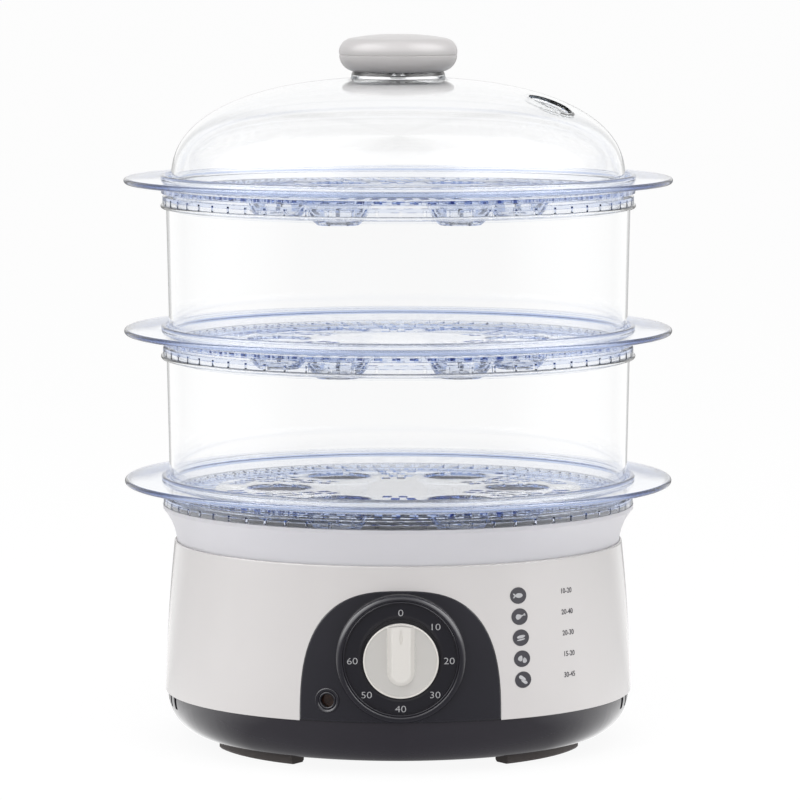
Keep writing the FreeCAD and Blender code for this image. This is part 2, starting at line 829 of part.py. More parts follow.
def make_wires():
    timer_tab = (8.0, timer_back - 8.6, dial_height - timer_radius - 5.0)
    tab_x, tab_y, tab_z = timer_tab
    floor = pan_floor + 3.0
    block_exit = pan_floor + 5.0
    keep("wire_supply", wire_along((
        (-terminal_pitch, block_front, block_exit),
        (-terminal_pitch, block_front - 8, block_exit),
        (-terminal_pitch - 13, block_front - 22, floor + 1),
        (-32, -12, floor),
        (-30, -46, floor),
        (-16, -78, floor + 2),
        (-tab_x, tab_y, floor + 7),
        (-tab_x, tab_y, tab_z),
    )))
    keep("wire_heater", wire_along((
        (tab_x, tab_y, tab_z),
        (tab_x, tab_y, tab_z - 12),
        (tab_x + 4, tab_y + 20, floor + 3),
        (pin_x + 3, -52, floor + 1),
        (pin_x, pin_y - 10, floor + 2),
        (pin_x, pin_y, pin_low - 9),
        (pin_x, pin_y, pin_low),
    )))
    keep("wire_return", wire_along((
        (terminal_pitch, block_front, block_exit),
        (terminal_pitch, block_front - 9, block_exit),
        (terminal_pitch - 3, 8, floor + 1),
        (-6, -8, floor + 3),
        (-pin_x, pin_y, pin_low - 9),
        (-pin_x, pin_y, pin_low),
    )))
    tab_angle = math.radians(60)
    reach = heater_flange_radius + 5
    earth_x = reach * math.cos(tab_angle)
    earth_y = reach * math.sin(tab_angle)
    keep("wire_earth", wire_along((
        (0, block_front, block_exit),
        (0, block_front - 7, block_exit),
        (12, block_front - 10, block_exit + 7),
        (earth_x, earth_y, clamp_low - 14),
        (earth_x, earth_y, clamp_low - 0.8),
    )))


def make_juice_tray():
    rim = juice_rim_height
    seat = housing_top
    drop = seat - juice_step
    wall = sheet + 0.2
    bend = 0.55
    mid_radius = juice_waist_radius + (juice_rim_radius - juice_waist_radius) * 0.36
    mid_height = seat + juice_rise * bend
    chimney_outer = chimney_radius + wall
    shell = lathe(
        (chimney_radius, drop),
        (juice_drop_radius, drop),
        (juice_drop_radius, seat),
        (juice_waist_radius, seat),
        (juice_waist_radius, seat + 2),
        ((mid_radius, mid_height), (juice_rim_radius, rim - 2.0)),
        (juice_rim_radius, rim),
        (juice_rim_radius - wall - 2.2, rim),
        ((mid_radius - wall, mid_height), (juice_waist_radius - wall, seat + wall + 1)),
        (juice_waist_radius - wall, seat + wall),
        (juice_drop_radius - wall, seat + wall),
        (juice_drop_radius - wall, drop + wall),
        (chimney_outer, drop + wall),
        (chimney_outer, drop + chimney_height),
        (chimney_radius, drop + chimney_height),
    )
    keep("juice_tray", shell)


def tray_rim():
    # Heights here count from the middle of the flange.
    top = flange_thickness / 2
    lip = lip_thickness / 2
    lip_centre = flange_radius - lip
    shoulder = skirt_depth - 4.2
    groove = shoulder - 1.7
    neck = floor_radius + 0.6
    bead_centre = recess_radius + 1.3
    bead_foot = recess_radius + 2.8
    ring = lathe(
        (recess_radius, -recess_depth),
        (recess_radius, bead_rise - 1.2),
        ((bead_centre, bead_rise), (bead_foot, top)),
        (lip_centre - 2, top),
        (lip_centre, lip),
        ((flange_radius, 0), (lip_centre, -lip)),
        (lip_centre - 2, -top),
        (recess_radius + sheet + 0.6, -top),
        (recess_radius + sheet + 0.6, -groove),
        (neck, -groove),
        (neck, -shoulder),
        (skirt_radius, -shoulder),
        (skirt_radius, -skirt_depth),
        (skirt_radius - sheet, -skirt_depth),
        (skirt_radius - sheet, -shoulder - sheet),
        (locating_radius, -shoulder - sheet),
        (locating_radius, -locating_depth),
        (locating_radius - 1.7, -locating_depth),
        (locating_radius - 1.7, -recess_depth - sheet),
        (floor_radius + 0.3, -recess_depth - sheet),
        (floor_radius + 0.3, -recess_depth),
    )
    notch = box((skirt_radius - sheet - 1, -tooth_gap / 2, -skirt_depth - 1),
                (skirt_radius + 1, tooth_gap / 2, -shoulder - 0.8))
    return ring.cut(ring_of(notch, tooth_count))


def slot_wire(low, high, angle):
    half = slot_width / 2
    turn = math.radians(angle)
    along = Vector(math.cos(turn), math.sin(turn), 0)
    across = Vector(-math.sin(turn), math.cos(turn), 0)
    corners = [
        along * low - across * half,
        along * high - across * half,
        along * high + across * half,
        along * low + across * half,
    ]
    return Part.makePolygon(corners + corners[:1])


def cup_centres():
    for index in range(cup_count):
        angle = math.radians(index * 360 / cup_count)
        yield Vector(cup_circle * math.cos(angle), cup_circle * math.sin(angle), 0)


def clear_of_cups(low, high, angle):
    reach = cup_mouth_radius + cup_border
    turn = math.radians(angle)
    for share in (0, 0.5, 1):
        radius = low + (high - low) * share
        point = Vector(radius * math.cos(turn), radius * math.sin(turn), 0)
        for cup in cup_centres():
            if point.distanceToPoint(cup) < reach + slot_width / 2:
                return False
    return True


def slot_rows():
    # Rows from the rim inwards: short slots, long slots, a plain ring, then rows to the disc.
    high = floor_radius - rim_slot_margin
    low = high - rim_slot_length
    yield low, high
    high = low - long_slot_gap
    low = high - long_slot_length
    yield low, high
    high = low - plain_ring_width
    while high > disc_radius + slot_length * 0.6:
        low = high - slot_length
        yield max(low, disc_radius + slot_row_gap), high
        high = low - slot_row_gap


def tray_floor():
    rim = Part.Wire(Part.makeCircle(floor_radius))
    wires = [rim]
    for cup in cup_centres():
        wires.append(Part.Wire(Part.makeCircle(cup_mouth_radius, cup)))
    for row, (low, high) in enumerate(slot_rows()):
        count = round(math.pi * (low + high) / slot_pitch)
        for index in range(count):
            angle = (index + 0.5 * (row % 2)) * 360 / count
            if clear_of_cups(low, high, angle):
                wires.append(slot_wire(low, high, angle))
    face = Part.makeFace(wires, "Part::FaceMakerBullseye")
    face.translate(Vector(0, 0, -recess_depth - sheet))
    return face.extrude(Vector(0, 0, sheet))


def tray_cups():
    # Each egg cup hangs from a collar under the floor, with a drain hole and side slits.
    top = -recess_depth - sheet
    low = top - cup_depth
    collar = cup_mouth_radius + cup_border - 0.6
    wall = sheet - 0.4
    side = (cup_mouth_radius - 1.6, top - cup_depth * 0.45)
    outer_side = (side[0] + wall, side[1])
    cup = lathe(
        (cup_drain_radius, low + wall),
        (cup_bottom_radius, low + wall),
        (side, (cup_mouth_radius, top)),
        (collar, top),
        (collar, top - sheet),
        (cup_mouth_radius + wall, top - sheet),
        (outer_side, (cup_bottom_radius + wall, low)),
        (cup_drain_radius, low),
    )
    slit = box((cup_bottom_radius - 1, -1.0, low + 4.0), (cup_mouth_radius + 4, 1.0, low + 8.5))
    cup = cup.cut(ring_of(slit, 6, 30))
    return Part.makeCompound([moved(cup, *place) for place in cup_centres()])


def make_trays():
    rim = tray_rim()
    floor = tray_floor()
    cups = tray_cups()
    for name, height in flange_heights.items():
        keep(name + "_tray_rim", moved(rim, z=height))
        keep(name + "_tray_floor", moved(floor, z=height))
        keep(name + "_tray_cups", moved(cups, z=height))


def make_bowls():
    top_radius = stack_radius + bowl_draft
    under_rim = bowl_height - sheet
    bowl = lathe(
        (stack_radius - sheet, 0),
        (stack_radius, 0),
        (top_radius, under_rim),
        (bowl_rim_radius - 0.6, under_rim),
        ((bowl_rim_radius, under_rim + sheet / 2), (bowl_rim_radius - 0.6, bowl_height)),
        (top_radius - sheet, bowl_height),
        (top_radius - sheet, under_rim),
    )
    for name, below in (("lower_bowl", "lower"), ("upper_bowl", "middle")):
        keep(name, moved(bowl, z=flange_heights[below] - recess_depth))


def lid_shell():
    # The dome's outer and inner curves, from the side up to the neck.
    outer = quarter_curve(lid_side_radius, lid_rise, lid_exponent, neck_radius)
    hole = neck_radius - neck_taper - lid_wall
    inner = quarter_curve(lid_side_radius - lid_wall, lid_rise - lid_wall, lid_exponent, hole)
    return outer, inner


def lid_place(radius, height):
    return Vector(radius, 0, height)


def make_lid_dome():
    outer, inner = lid_shell()
    neck_outer = neck_radius - neck_taper
    neck_inner = inner[-1][0]
    plate = neck_top - lid_wall
    chain = [
        (lid_side_radius, 0),
        (stack_radius, -0.8),
        (stack_radius, -recess_depth),
        (stack_radius - lid_wall, -recess_depth),
        (stack_radius - lid_wall, -0.8),
        (lid_side_radius - lid_wall, 0),
    ]
    crown = [
        inner[-1],
        (neck_inner, plate),
        (lid_screw_radius + 0.3, plate),
        (lid_screw_radius + 0.3, neck_top),
        (neck_outer, neck_top),
        outer[-1],
    ]
    edges = [smooth([lid_place(*point) for point in outer])]
    edges.append(smooth([lid_place(*point) for point in inner]))
    for run in (chain, crown):
        for start, end in zip(run, run[1:]):
            edges.append(Part.LineSegment(lid_place(*start), lid_place(*end)).toShape())
    profile = Part.Wire(Part.__sortEdges__(edges))
    dome = Part.Face(profile).revolve(centre, axis_z, 360)

    # The steam vent is a round pocket sunk into the dome, square to it, with a slot in its floor.
    vent_height, normal = steam_vent_place()
    spot = Vector(steam_vent_circle, 0, vent_height)
    floor = spot - normal * steam_vent_depth
    cup_foot = floor - normal * steam_vent_wall
    reach = steam_vent_depth * 2 + steam_vent_wall
    cup = Part.makeCylinder(steam_vent_radius + steam_vent_wall, reach, cup_foot, normal)
    pocket = Part.makeCylinder(steam_vent_radius, reach, floor, normal)
    slot = steam_vent_slot_prism(cup_foot - normal, normal, reach)
    cup = turned(cup.common(lid_block()), steam_vent_angle)
    cuts = [turned(shape, steam_vent_angle) for shape in (pocket, slot)]
    dome = dome.fuse(cup).cut(cuts).removeSplitter()
    keep("lid_dome", moved(dome, z=lid_level))


def steam_vent_place():
    # The dome's height and its outward direction at the vent's circle.
    ratio = steam_vent_circle / lid_side_radius
    height = lid_rise * (1 - ratio ** lid_exponent) ** (1 / lid_exponent)
    outward = ratio ** (lid_exponent - 1) / lid_side_radius
    upward = (height / lid_rise) ** (lid_exponent - 1) / lid_rise
    normal = Vector(outward, 0, upward)
    normal.normalize()
    return height, normal


def steam_vent_slot_prism(foot, normal, depth):
    # A slot with round ends that runs down the slope, beside the pocket's middle.
    across = Vector(0, 1, 0)
    along = across.cross(normal)
    middle = foot + across * steam_vent_slot_shift
    half = steam_vent_slot_width / 2
    run = steam_vent_slot / 2 - half
    corners = [middle + along * (x * run) + across * (y * half)
               for x, y in ((-1, -1), (1, -1), (1, 1), (-1, 1))]
    edges = [
        Part.LineSegment(corners[0], corners[1]).toShape(),
        Part.Arc(corners[1], middle + along * (run + half), corners[2]).toShape(),
        Part.LineSegment(corners[2], corners[3]).toShape(),
        Part.Arc(corners[3], middle - along * (run + half), corners[0]).toShape(),
    ]
    return Part.Face(Part.Wire(edges)).extrude(normal * (depth + 2))


def lid_block():
    # The dome filled in, used to trim what is added to it flush with its outside.
    outer, _ = lid_shell()
    points = [lid_place(*point) for point in outer]
    run = [points[-1], Vector(0, 0, outer[-1][1]), Vector(0, 0, 0), points[0]]
    edges = [smooth(points)]
    for start, end in zip(run, run[1:]):
        edges.append(Part.LineSegment(start, end).toShape())
    return Part.Face(Part.Wire(Part.__sortEdges__(edges))).revolve(centre, axis_z, 360)


def make_lid_knob():
    low = lid_level + neck_top
    seam = low + lid_knob_body_height
    top = seam + lid_knob_cap_height
    radius = lid_knob_radius
    wall = knob_shell
    groove = 0.35
    boss = 6.0
    pilot = lid_screw_radius + thread_clearance
    body = lathe(
        (pilot, low),
        (lid_knob_foot_radius, low),
        ((radius - 1.9, low + 3.4), (radius, seam - groove)),
        (radius - groove, seam),
        (radius - wall, seam),
        (radius - wall - 0.6, low + wall + 3),
        (lid_knob_foot_radius - 1, low + wall),
        (boss, low + wall),
        (boss, seam),
        (pilot, seam),
    )
    keep("lid_knob_body", body)
    shoulder = (radius - 5.4, seam + lid_knob_cap_height * 0.8)
    ring = radius - wall - 0.6 - round_clearance
    cap = lathe(
        (ring - wall, seam - 3.0),
        (ring, seam - 3.0),
        (ring, seam),
        (radius - groove, seam),
        (radius, seam + groove),
        ((radius - 1.1, seam + lid_knob_cap_height * 0.52), shoulder),
        ((radius * 0.45, top - 0.5), (lid_knob_flat, top)),
        (0, top),
        (0, top - wall),
        (lid_knob_flat, top - wall),
        ((radius * 0.45, top - 0.5 - wall), (radius - 6.6, seam + 5.6)),
        (ring - wall, seam + 2.0),
    )
    keep("lid_knob_cap", cap)

    plate = low - lid_wall
    washer = tube(7.0, lid_screw_radius + 0.3, plate - 1.2, plate)
    keep("lid_washer", washer)
    head_top = plate - 1.2
    head = upright(4.4, head_top - 2.6, head_top)
    shank = upright(lid_screw_radius, head_top, seam - 1.0)
    cross = box((-2.6, -0.5, head_top - 3), (2.6, 0.5, head_top - 1.4))
    keep("lid_screw", head.fuse(shank).cut([cross, turned(cross, 90)]))


os.makedirs("parts", exist_ok=True)
make_feet()
make_base_pan()
make_housing()
make_water_tank()
make_case_screws()
make_heater()
make_heating_element()
make_thermostat()
make_steam_ring()
make_control_panel()
make_indicator()
make_timer()
make_timer_knob()
make_gland()
make_terminals()
make_wires()
make_juice_tray()
make_trays()
make_bowls()
make_lid_dome()
make_lid_knob()
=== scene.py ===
import json
import math

import bmesh
import bpy
from mathutils import Matrix, Vector


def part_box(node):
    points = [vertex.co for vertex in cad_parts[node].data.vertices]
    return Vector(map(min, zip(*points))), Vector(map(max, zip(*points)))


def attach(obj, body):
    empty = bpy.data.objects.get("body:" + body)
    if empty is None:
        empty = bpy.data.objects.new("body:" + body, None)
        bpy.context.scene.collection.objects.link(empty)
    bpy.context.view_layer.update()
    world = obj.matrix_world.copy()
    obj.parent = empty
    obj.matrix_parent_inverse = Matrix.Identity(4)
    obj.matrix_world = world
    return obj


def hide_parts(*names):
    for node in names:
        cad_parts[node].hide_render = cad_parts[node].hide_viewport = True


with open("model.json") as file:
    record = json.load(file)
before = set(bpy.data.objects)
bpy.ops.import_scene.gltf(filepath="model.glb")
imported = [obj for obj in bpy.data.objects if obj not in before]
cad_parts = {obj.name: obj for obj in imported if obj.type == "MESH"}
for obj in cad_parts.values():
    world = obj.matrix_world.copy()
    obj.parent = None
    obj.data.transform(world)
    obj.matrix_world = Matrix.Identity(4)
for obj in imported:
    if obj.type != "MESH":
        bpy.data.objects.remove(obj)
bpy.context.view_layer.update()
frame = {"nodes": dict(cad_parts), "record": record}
print("steamer: frame loaded")

# Metres throughout. The front faces -Y and the table is at height 0.


# Mesh tools

def arcThrough(start, through, end, count):
    # The points after start on the arc that passes through three points.
    (ax, ay), (bx, by), (cx, cy) = start, through, end
    spread = 2 * (ax * (by - cy) + bx * (cy - ay) + cx * (ay - by))
    aa, bb, cc = ax * ax + ay * ay, bx * bx + by * by, cx * cx + cy * cy
    middleX = (aa * (by - cy) + bb * (cy - ay) + cc * (ay - by)) / spread
    middleY = (aa * (cx - bx) + bb * (ax - cx) + cc * (bx - ax)) / spread
    radius = math.hypot(ax - middleX, ay - middleY)
    first = math.atan2(ay - middleY, ax - middleX)
    sweep = math.atan2(cy - middleY, cx - middleX) - first
    turnsLeft = (bx - ax) * (cy - ay) - (by - ay) * (cx - ax) > 0
    if turnsLeft and sweep < 0:
        sweep += 2 * math.pi
    if not turnsLeft and sweep > 0:
        sweep -= 2 * math.pi
    points = []
    for step in range(1, count + 1):
        angle = first + sweep * step / count
        points.append((middleX + radius * math.cos(angle), middleY + radius * math.sin(angle)))
    return points


def outline(start, *steps, arcSteps=10):
    # A step is a point, or a pair of points for an arc: through, end.
    points = [start]
    for step in steps:
        if isinstance(step[0], tuple):
            points += arcThrough(points[-1], step[0], step[1], arcSteps)
        else:
            points.append(step)
    return points


def lathe(profile, steps=192):
    # A closed outline of radii and heights, spun about the upright axis.
    shape = bmesh.new()
    corners = [shape.verts.new((radius, 0, height)) for radius, height in profile]
    rim = [shape.edges.new(pair) for pair in zip(corners, corners[1:] + corners[:1])]
    bmesh.ops.spin(shape, geom=corners + rim, cent=(0, 0, 0), axis=(0, 0, 1), dvec=(0, 0, 0),
                   angle=2 * math.pi, steps=steps, use_merge=True, use_duplicate=False)
    bmesh.ops.remove_doubles(shape, verts=shape.verts, dist=1e-6)
    bmesh.ops.recalc_face_normals(shape, faces=shape.faces)
    return shape


def softenEdges(shape, width, angle=30.0, segments=2, chosen=None):
    # Edges sharper than the angle get a small round.
    limit = math.radians(angle)
    sharp = []
    for edge in shape.edges:
        if edge.is_manifold and edge.calc_face_angle(0) > limit:
            if chosen is None or chosen(edge):
                sharp.append(edge)
    bmesh.ops.bevel(shape, geom=sharp, offset=width, offset_type="OFFSET", segments=segments,
                    profile=0.5, affect="EDGES", clamp_overlap=True, material=-1)


def shadeSmooth(shape, angle=32.0):
    limit = math.radians(angle)
    for face in shape.faces:
        face.smooth = True
    for edge in shape.edges:
        edge.smooth = not edge.is_manifold or edge.calc_face_angle(0) < limit


def meshFrom(name, shape, angle=32.0):
    shadeSmooth(shape, angle)
    mesh = bpy.data.meshes.new(name)
    shape.to_mesh(mesh)
    shape.free()
    return mesh


def newObject(name, data):
    made = bpy.data.objects.new(name, data)
    bpy.context.scene.collection.objects.link(made)
    return made


def addPiece(name, mesh, body, slotName, finish, *nodes):
    piece = newObject(name, mesh)
    mesh.materials.clear()
    mesh.materials.append(finish)
    # Broad faces keep their own normals beside small rounds, or clear walls would act as lenses.
    evened = piece.modifiers.new("evened", "WEIGHTED_NORMAL")
    evened.mode = "FACE_AREA"
    evened.weight = 100
    evened.keep_sharp = True
    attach(piece, body)
    if nodes:
        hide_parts(*nodes)
    return piece


def carve(mesh, toolShape, operation):
    # Joins the tool to the mesh, or cuts the mesh with it, and gives the new mesh.
    work, tool = newObject("work", mesh), newObject("tool", meshFrom("tool", toolShape))
    cutter = work.modifiers.new("carve", "BOOLEAN")
    cutter.operation = operation
    cutter.solver = "EXACT"
    cutter.object = tool
    graph = bpy.context.evaluated_depsgraph_get()
    result = bpy.data.meshes.new_from_object(work.evaluated_get(graph))
    for part in (work, tool):
        spent = part.data
        bpy.data.objects.remove(part)
        bpy.data.meshes.remove(spent)
    return result


def shapeOf(mesh):
    shape = bmesh.new()
    shape.from_mesh(mesh)
    bmesh.ops.remove_doubles(shape, verts=shape.verts, dist=2e-7)
    return shape


def block(shape, low, high, turn=0.0, shift=(0, 0, 0)):
    # A box between two corners, turned about the upright axis, added to shape.
    size = [top - bottom for bottom, top in zip(low, high)]
    middle = [(top + bottom) / 2 for bottom, top in zip(low, high)]
    place = (Matrix.Translation(shift) @ Matrix.Rotation(turn, 4, "Z")
             @ Matrix.Translation(middle) @ Matrix.Diagonal((*size, 1)))
    bmesh.ops.create_cube(shape, size=1.0, matrix=place)


def drawOut(shape, faces, step, keep=False):
    # Pulls flat faces along a step into a closed solid.
    made = bmesh.ops.extrude_face_region(shape, geom=faces, use_keep_orig=keep)
    pulled = [item for item in made["geom"] if isinstance(item, bmesh.types.BMVert)]
    bmesh.ops.translate(shape, verts=pulled, vec=step)
    bmesh.ops.recalc_face_normals(shape, faces=shape.faces)


# Shader tools

def addNode(tree, kind, inputs=(), **settings):
    # Inputs go by name or in order. Each is a plain value, or the output of another node.
    node = tree.nodes.new(kind)
    for name, value in settings.items():
        setattr(node, name, value)
    for name, value in inputs.items() if isinstance(inputs, dict) else enumerate(inputs):
        if isinstance(value, bpy.types.NodeSocket):
            tree.links.new(value, node.inputs[name])
        else:
            node.inputs[name].default_value = value
    return node


def reckon(tree, operation, *inputs, **settings):
    # A step of arithmetic. Gives its result.
    return addNode(tree, "ShaderNodeMath", inputs, operation=operation, **settings).outputs[0]


def mixOf(tree, share, first, second):
    return addNode(tree, "ShaderNodeMix", {"Factor": share, "A": first, "B": second},
                   data_type="FLOAT").outputs["Result"]


def newGroup(name, inputs, outputs):
    tree = bpy.data.node_groups.new(name, "ShaderNodeTree")
    for label, kind, value in inputs:
        socket = tree.interface.new_socket(label, in_out="INPUT", socket_type=kind)
        socket.default_value = value
    for label, kind in outputs:
        tree.interface.new_socket(label, in_out="OUTPUT", socket_type=kind)
    given, made = tree.nodes.new("NodeGroupInput"), tree.nodes.new("NodeGroupOutput")
    return tree, given.outputs, made.inputs


def newSkin(name, **inputs):
    # A group that gives a surface its colour, its roughness and the height of its grain.
    given = [("Colour", "NodeSocketColor", (0.7, 0.7, 0.7, 1))]
    given += [(label, "NodeSocketFloat", value) for label, value in inputs.items()]
    return newGroup(name, given, (("Colour", "NodeSocketColor"), ("Roughness", "NodeSocketFloat"),
                                  ("Height", "NodeSocketFloat")))


def shadeBy(tree, colour, pattern, depth, low, high):
    # The colour, darker by up to the depth where the pattern falls from high to low.
    darkest = reckon(tree, "SUBTRACT", 1.0, depth)
    shade = addNode(tree, "ShaderNodeMapRange", {"Value": pattern, "From Min": low,
                                                 "From Max": high, "To Min": darkest})
    return addNode(tree, "ShaderNodeVectorMath", {0: colour, "Scale": shade.outputs["Result"]},
                   operation="SCALE").outputs["Vector"]


def buildMouldedSkin():
    # Moulded plastic: the colour drifts a little, the gloss is uneven, the skin is faintly rippled.
    tree, given, made = newSkin("mouldedSkin", drift=0.04, patchScale=25.0, roughness=0.3,
                                glossSpread=0.08, grainScale=900.0)
    place = addNode(tree, "ShaderNodeTexCoord").outputs["Object"]
    patches = addNode(tree, "ShaderNodeTexNoise", {
        "Vector": place, "Scale": given["patchScale"], "Detail": 3.0,
        "Roughness": 0.55}).outputs["Fac"]
    grain = addNode(tree, "ShaderNodeTexNoise", {
        "Vector": place, "Scale": given["grainScale"], "Detail": 2.0}).outputs["Fac"]
    tint = shadeBy(tree, given["Colour"], patches, given["drift"], 0.3, 0.7)
    smear = reckon(tree, "SUBTRACT", patches, 0.5)
    spread = reckon(tree, "MULTIPLY_ADD", smear, given["glossSpread"], given["roughness"],
                    use_clamp=True)
    for name, value in (("Colour", tint), ("Roughness", spread), ("Height", grain)):
        tree.links.new(value, made[name])
    return tree


def buildMetalSkin():
    # Worked metal: fine lines along one direction, and blotches where it has been handled.
    tree, given, made = newSkin("metalSkin", stain=0.12, roughness=0.3, lineScale=600.0)
    place = addNode(tree, "ShaderNodeTexCoord").outputs["Object"]
    stretched = addNode(tree, "ShaderNodeMapping", {"Vector": place, "Scale": (0.08, 1.0, 1.0)})
    lines = addNode(tree, "ShaderNodeTexNoise", {
        "Vector": stretched.outputs["Vector"], "Scale": given["lineScale"],
        "Detail": 4.0}).outputs["Fac"]
    blotches = addNode(tree, "ShaderNodeTexNoise", {
        "Vector": place, "Scale": 60.0, "Detail": 5.0, "Roughness": 0.6}).outputs["Fac"]
    tint = shadeBy(tree, given["Colour"], blotches, given["stain"], 0.35, 0.65)
    smear = reckon(tree, "MULTIPLY_ADD", lines, 0.2, given["roughness"], use_clamp=True)
    for name, value in (("Colour", tint), ("Roughness", smear), ("Height", lines)):
        tree.links.new(value, made[name])
    return tree


mouldedSkin = buildMouldedSkin()
metalSkin = buildMetalSkin()
grainDepth = 0.0001
rippleDepth = 0.0005


def startMaterial(name):
    material = bpy.data.materials.new(name)
    material.use_nodes = True
    tree = material.node_tree
    return material, tree, tree.nodes["Principled BSDF"], tree.nodes["Material Output"]


def addBump(tree, height, shader, strength, depth):
    bump = addNode(tree, "ShaderNodeBump", {"Height": height, "Strength": strength,
                                            "Distance": depth})
    tree.links.new(bump.outputs["Normal"], shader.inputs["Normal"])


def wearSkin(name, skinTree, look, settings):
    # A material in one of the skins. A look gives the skin's inputs that it sets by name.
    material, tree, shader, _ = startMaterial(name)
    skin = addNode(tree, "ShaderNodeGroup", node_tree=skinTree)
    skin.inputs["Colour"].default_value = (*look["colour"], 1)
    for socket in skin.inputs:
        if socket.name in look:
            socket.default_value = look[socket.name]
    tree.links.new(skin.outputs["Colour"], shader.inputs["Base Color"])
    tree.links.new(skin.outputs["Roughness"], shader.inputs["Roughness"])
    for label, value in settings.items():
        shader.inputs[label].default_value = value
    addBump(tree, skin.outputs["Height"], shader, look.get("bump", 0.1), grainDepth)
    return material


def plasticFinish(name, look):
    return wearSkin(name, mouldedSkin, look, {
        "IOR": 1.5, "Coat Weight": look.get("coat", 0.0),
        "Coat Roughness": look.get("coatRoughness", 0.1),
        "Transmission Weight": look.get("clear", 0.0)})


def metalFinish(name, look):
    return wearSkin(name, metalSkin, look, {"Metallic": 1.0})


def clearFinish(name, look):
    # Clear moulded plastic. Its colour comes from how far light travels inside it.
    material, tree, shader, output = startMaterial(name)
    place = addNode(tree, "ShaderNodeTexCoord").outputs["Object"]
    ripple = addNode(tree, "ShaderNodeTexNoise", {
        "Vector": place, "Scale": look["rippleScale"], "Detail": 1.0}).outputs["Fac"]
    haze = addNode(tree, "ShaderNodeMapRange", {
        "Value": ripple, "From Min": 0.4, "From Max": 0.8, "To Min": 0.0,
        "To Max": look["haze"]})
    tree.links.new(haze.outputs["Result"], shader.inputs["Roughness"])
    shader.inputs["Base Color"].default_value = (1, 1, 1, 1)
    shader.inputs["IOR"].default_value = look["ior"]
    shader.inputs["Transmission Weight"].default_value = 1.0
    addBump(tree, ripple, shader, look["ripple"], rippleDepth)
    inside = addNode(tree, "ShaderNodeVolumeAbsorption", {
        "Color": (*look["tint"], 1), "Density": look["density"]})
    tree.links.new(inside.outputs["Volume"], output.inputs["Volume"])
    return material


plasticLooks = {
    "white_housing": {"colour": (0.70, 0.675, 0.67), "roughness": 0.16, "glossSpread": 0.04,
                      "drift": 0.02, "bump": 0.05, "coat": 0.3, "coatRoughness": 0.05},
    "dark_pan": {"colour": (0.026, 0.0235, 0.031), "roughness": 0.14, "glossSpread": 0.05,
                 "drift": 0.1, "bump": 0.04},
    "dark_panel": {"colour": (0.014, 0.0133, 0.0195), "roughness": 0.2, "drift": 0.08,
                   "bump": 0.05, "glossSpread": 0.05},
    "foot_rubber": {"colour": (0.055, 0.046, 0.044), "roughness": 0.75, "bump": 0.4,
                    "drift": 0.15, "grainScale": 1800.0},
    "frosted_plastic": {"colour": (0.92, 0.91, 0.95), "roughness": 0.42, "clear": 0.35,
                        "drift": 0.02, "bump": 0.15, "grainScale": 1400.0},
    "knob_white": {"colour": (0.73, 0.705, 0.67), "roughness": 0.28, "drift": 0.02,
                   "bump": 0.05},
    # A darker copy of the knob's white for its sunk face: the darker colour is painted shade, while
    # the rougher, matt skin is real.
    "knob_face": {"colour": (0.56, 0.545, 0.525), "roughness": 0.5, "drift": 0.03,
                  "bump": 0.12},
    "lid_knob_grey": {"colour": (0.62, 0.60, 0.60), "roughness": 0.3, "drift": 0.02,
                      "bump": 0.06},
    "tank_plastic": {"colour": (0.60, 0.60, 0.60), "roughness": 0.42, "drift": 0.05},
    "steam_ring_plastic": {"colour": (0.68, 0.68, 0.67), "roughness": 0.4, "drift": 0.05},
    "silicone": {"colour": (0.56, 0.56, 0.53), "roughness": 0.6, "drift": 0.06},
    "lens_amber": {"colour": (0.05, 0.022, 0.014), "roughness": 0.16, "clear": 0.2,
                   "drift": 0.6, "patchScale": 420.0},
    "lamp_glass": {"colour": (0.95, 0.82, 0.7), "roughness": 0.05, "clear": 0.85,
                   "drift": 0.1, "patchScale": 300.0},
    "inner_plastic": {"colour": (0.52, 0.49, 0.42), "roughness": 0.55, "drift": 0.08},
    "timer_plastic": {"colour": (0.018, 0.018, 0.02), "roughness": 0.45, "drift": 0.15},
    "gland_rubber": {"colour": (0.012, 0.012, 0.013), "roughness": 0.65, "drift": 0.2,
                     "bump": 0.3},
    "wire_brown": {"colour": (0.09, 0.032, 0.012), "roughness": 0.45, "drift": 0.12},
    "wire_blue": {"colour": (0.012, 0.045, 0.22), "roughness": 0.45, "drift": 0.12},
    "wire_green": {"colour": (0.05, 0.20, 0.02), "roughness": 0.45, "drift": 0.12},
    "paleInk": {"colour": (0.55, 0.55, 0.57), "roughness": 0.5, "drift": 0.2,
                "patchScale": 700.0},
    "darkInk": {"colour": (0.022, 0.02, 0.028), "roughness": 0.45, "drift": 0.15,
                "patchScale": 500.0},
}

metalLooks = {
    "cast_aluminium": {"colour": (0.60, 0.60, 0.59), "roughness": 0.38, "stain": 0.2,
                       "lineScale": 260.0, "bump": 0.3},
    "steel": {"colour": (0.58, 0.58, 0.59), "roughness": 0.24, "bump": 0.15},
    "spring_steel": {"colour": (0.36, 0.36, 0.38), "roughness": 0.26, "bump": 0.15},
    "brass": {"colour": (0.66, 0.46, 0.17), "roughness": 0.26, "stain": 0.2, "bump": 0.15},
}

clearLooks = {
    "tray_plastic": {"ior": 1.55, "haze": 0.02, "ripple": 0.03, "rippleScale": 45.0,
                     "tint": (0.0, 0.225, 0.675), "density": 26.0},
    "clear_plastic": {"ior": 1.49, "haze": 0.015, "ripple": 0.02, "rippleScale": 22.0,
                      "tint": (0.0, 0.17, 0.25), "density": 3.0},
}

finishes = {}
for looks, finish in ((plasticLooks, plasticFinish), (metalLooks, metalFinish),
                      (clearLooks, clearFinish)):
    for slotName, look in looks.items():
        finishes[slotName] = finish(slotName, look)

# Every node of the frame takes the finish of its own material.
for part in frame["record"]["subparts"]:
    slotName = part["material_slot"]
    for place in frame["nodes"][part["node"]].material_slots:
        place.material = finishes[slotName]
print("steamer: finishes ready")


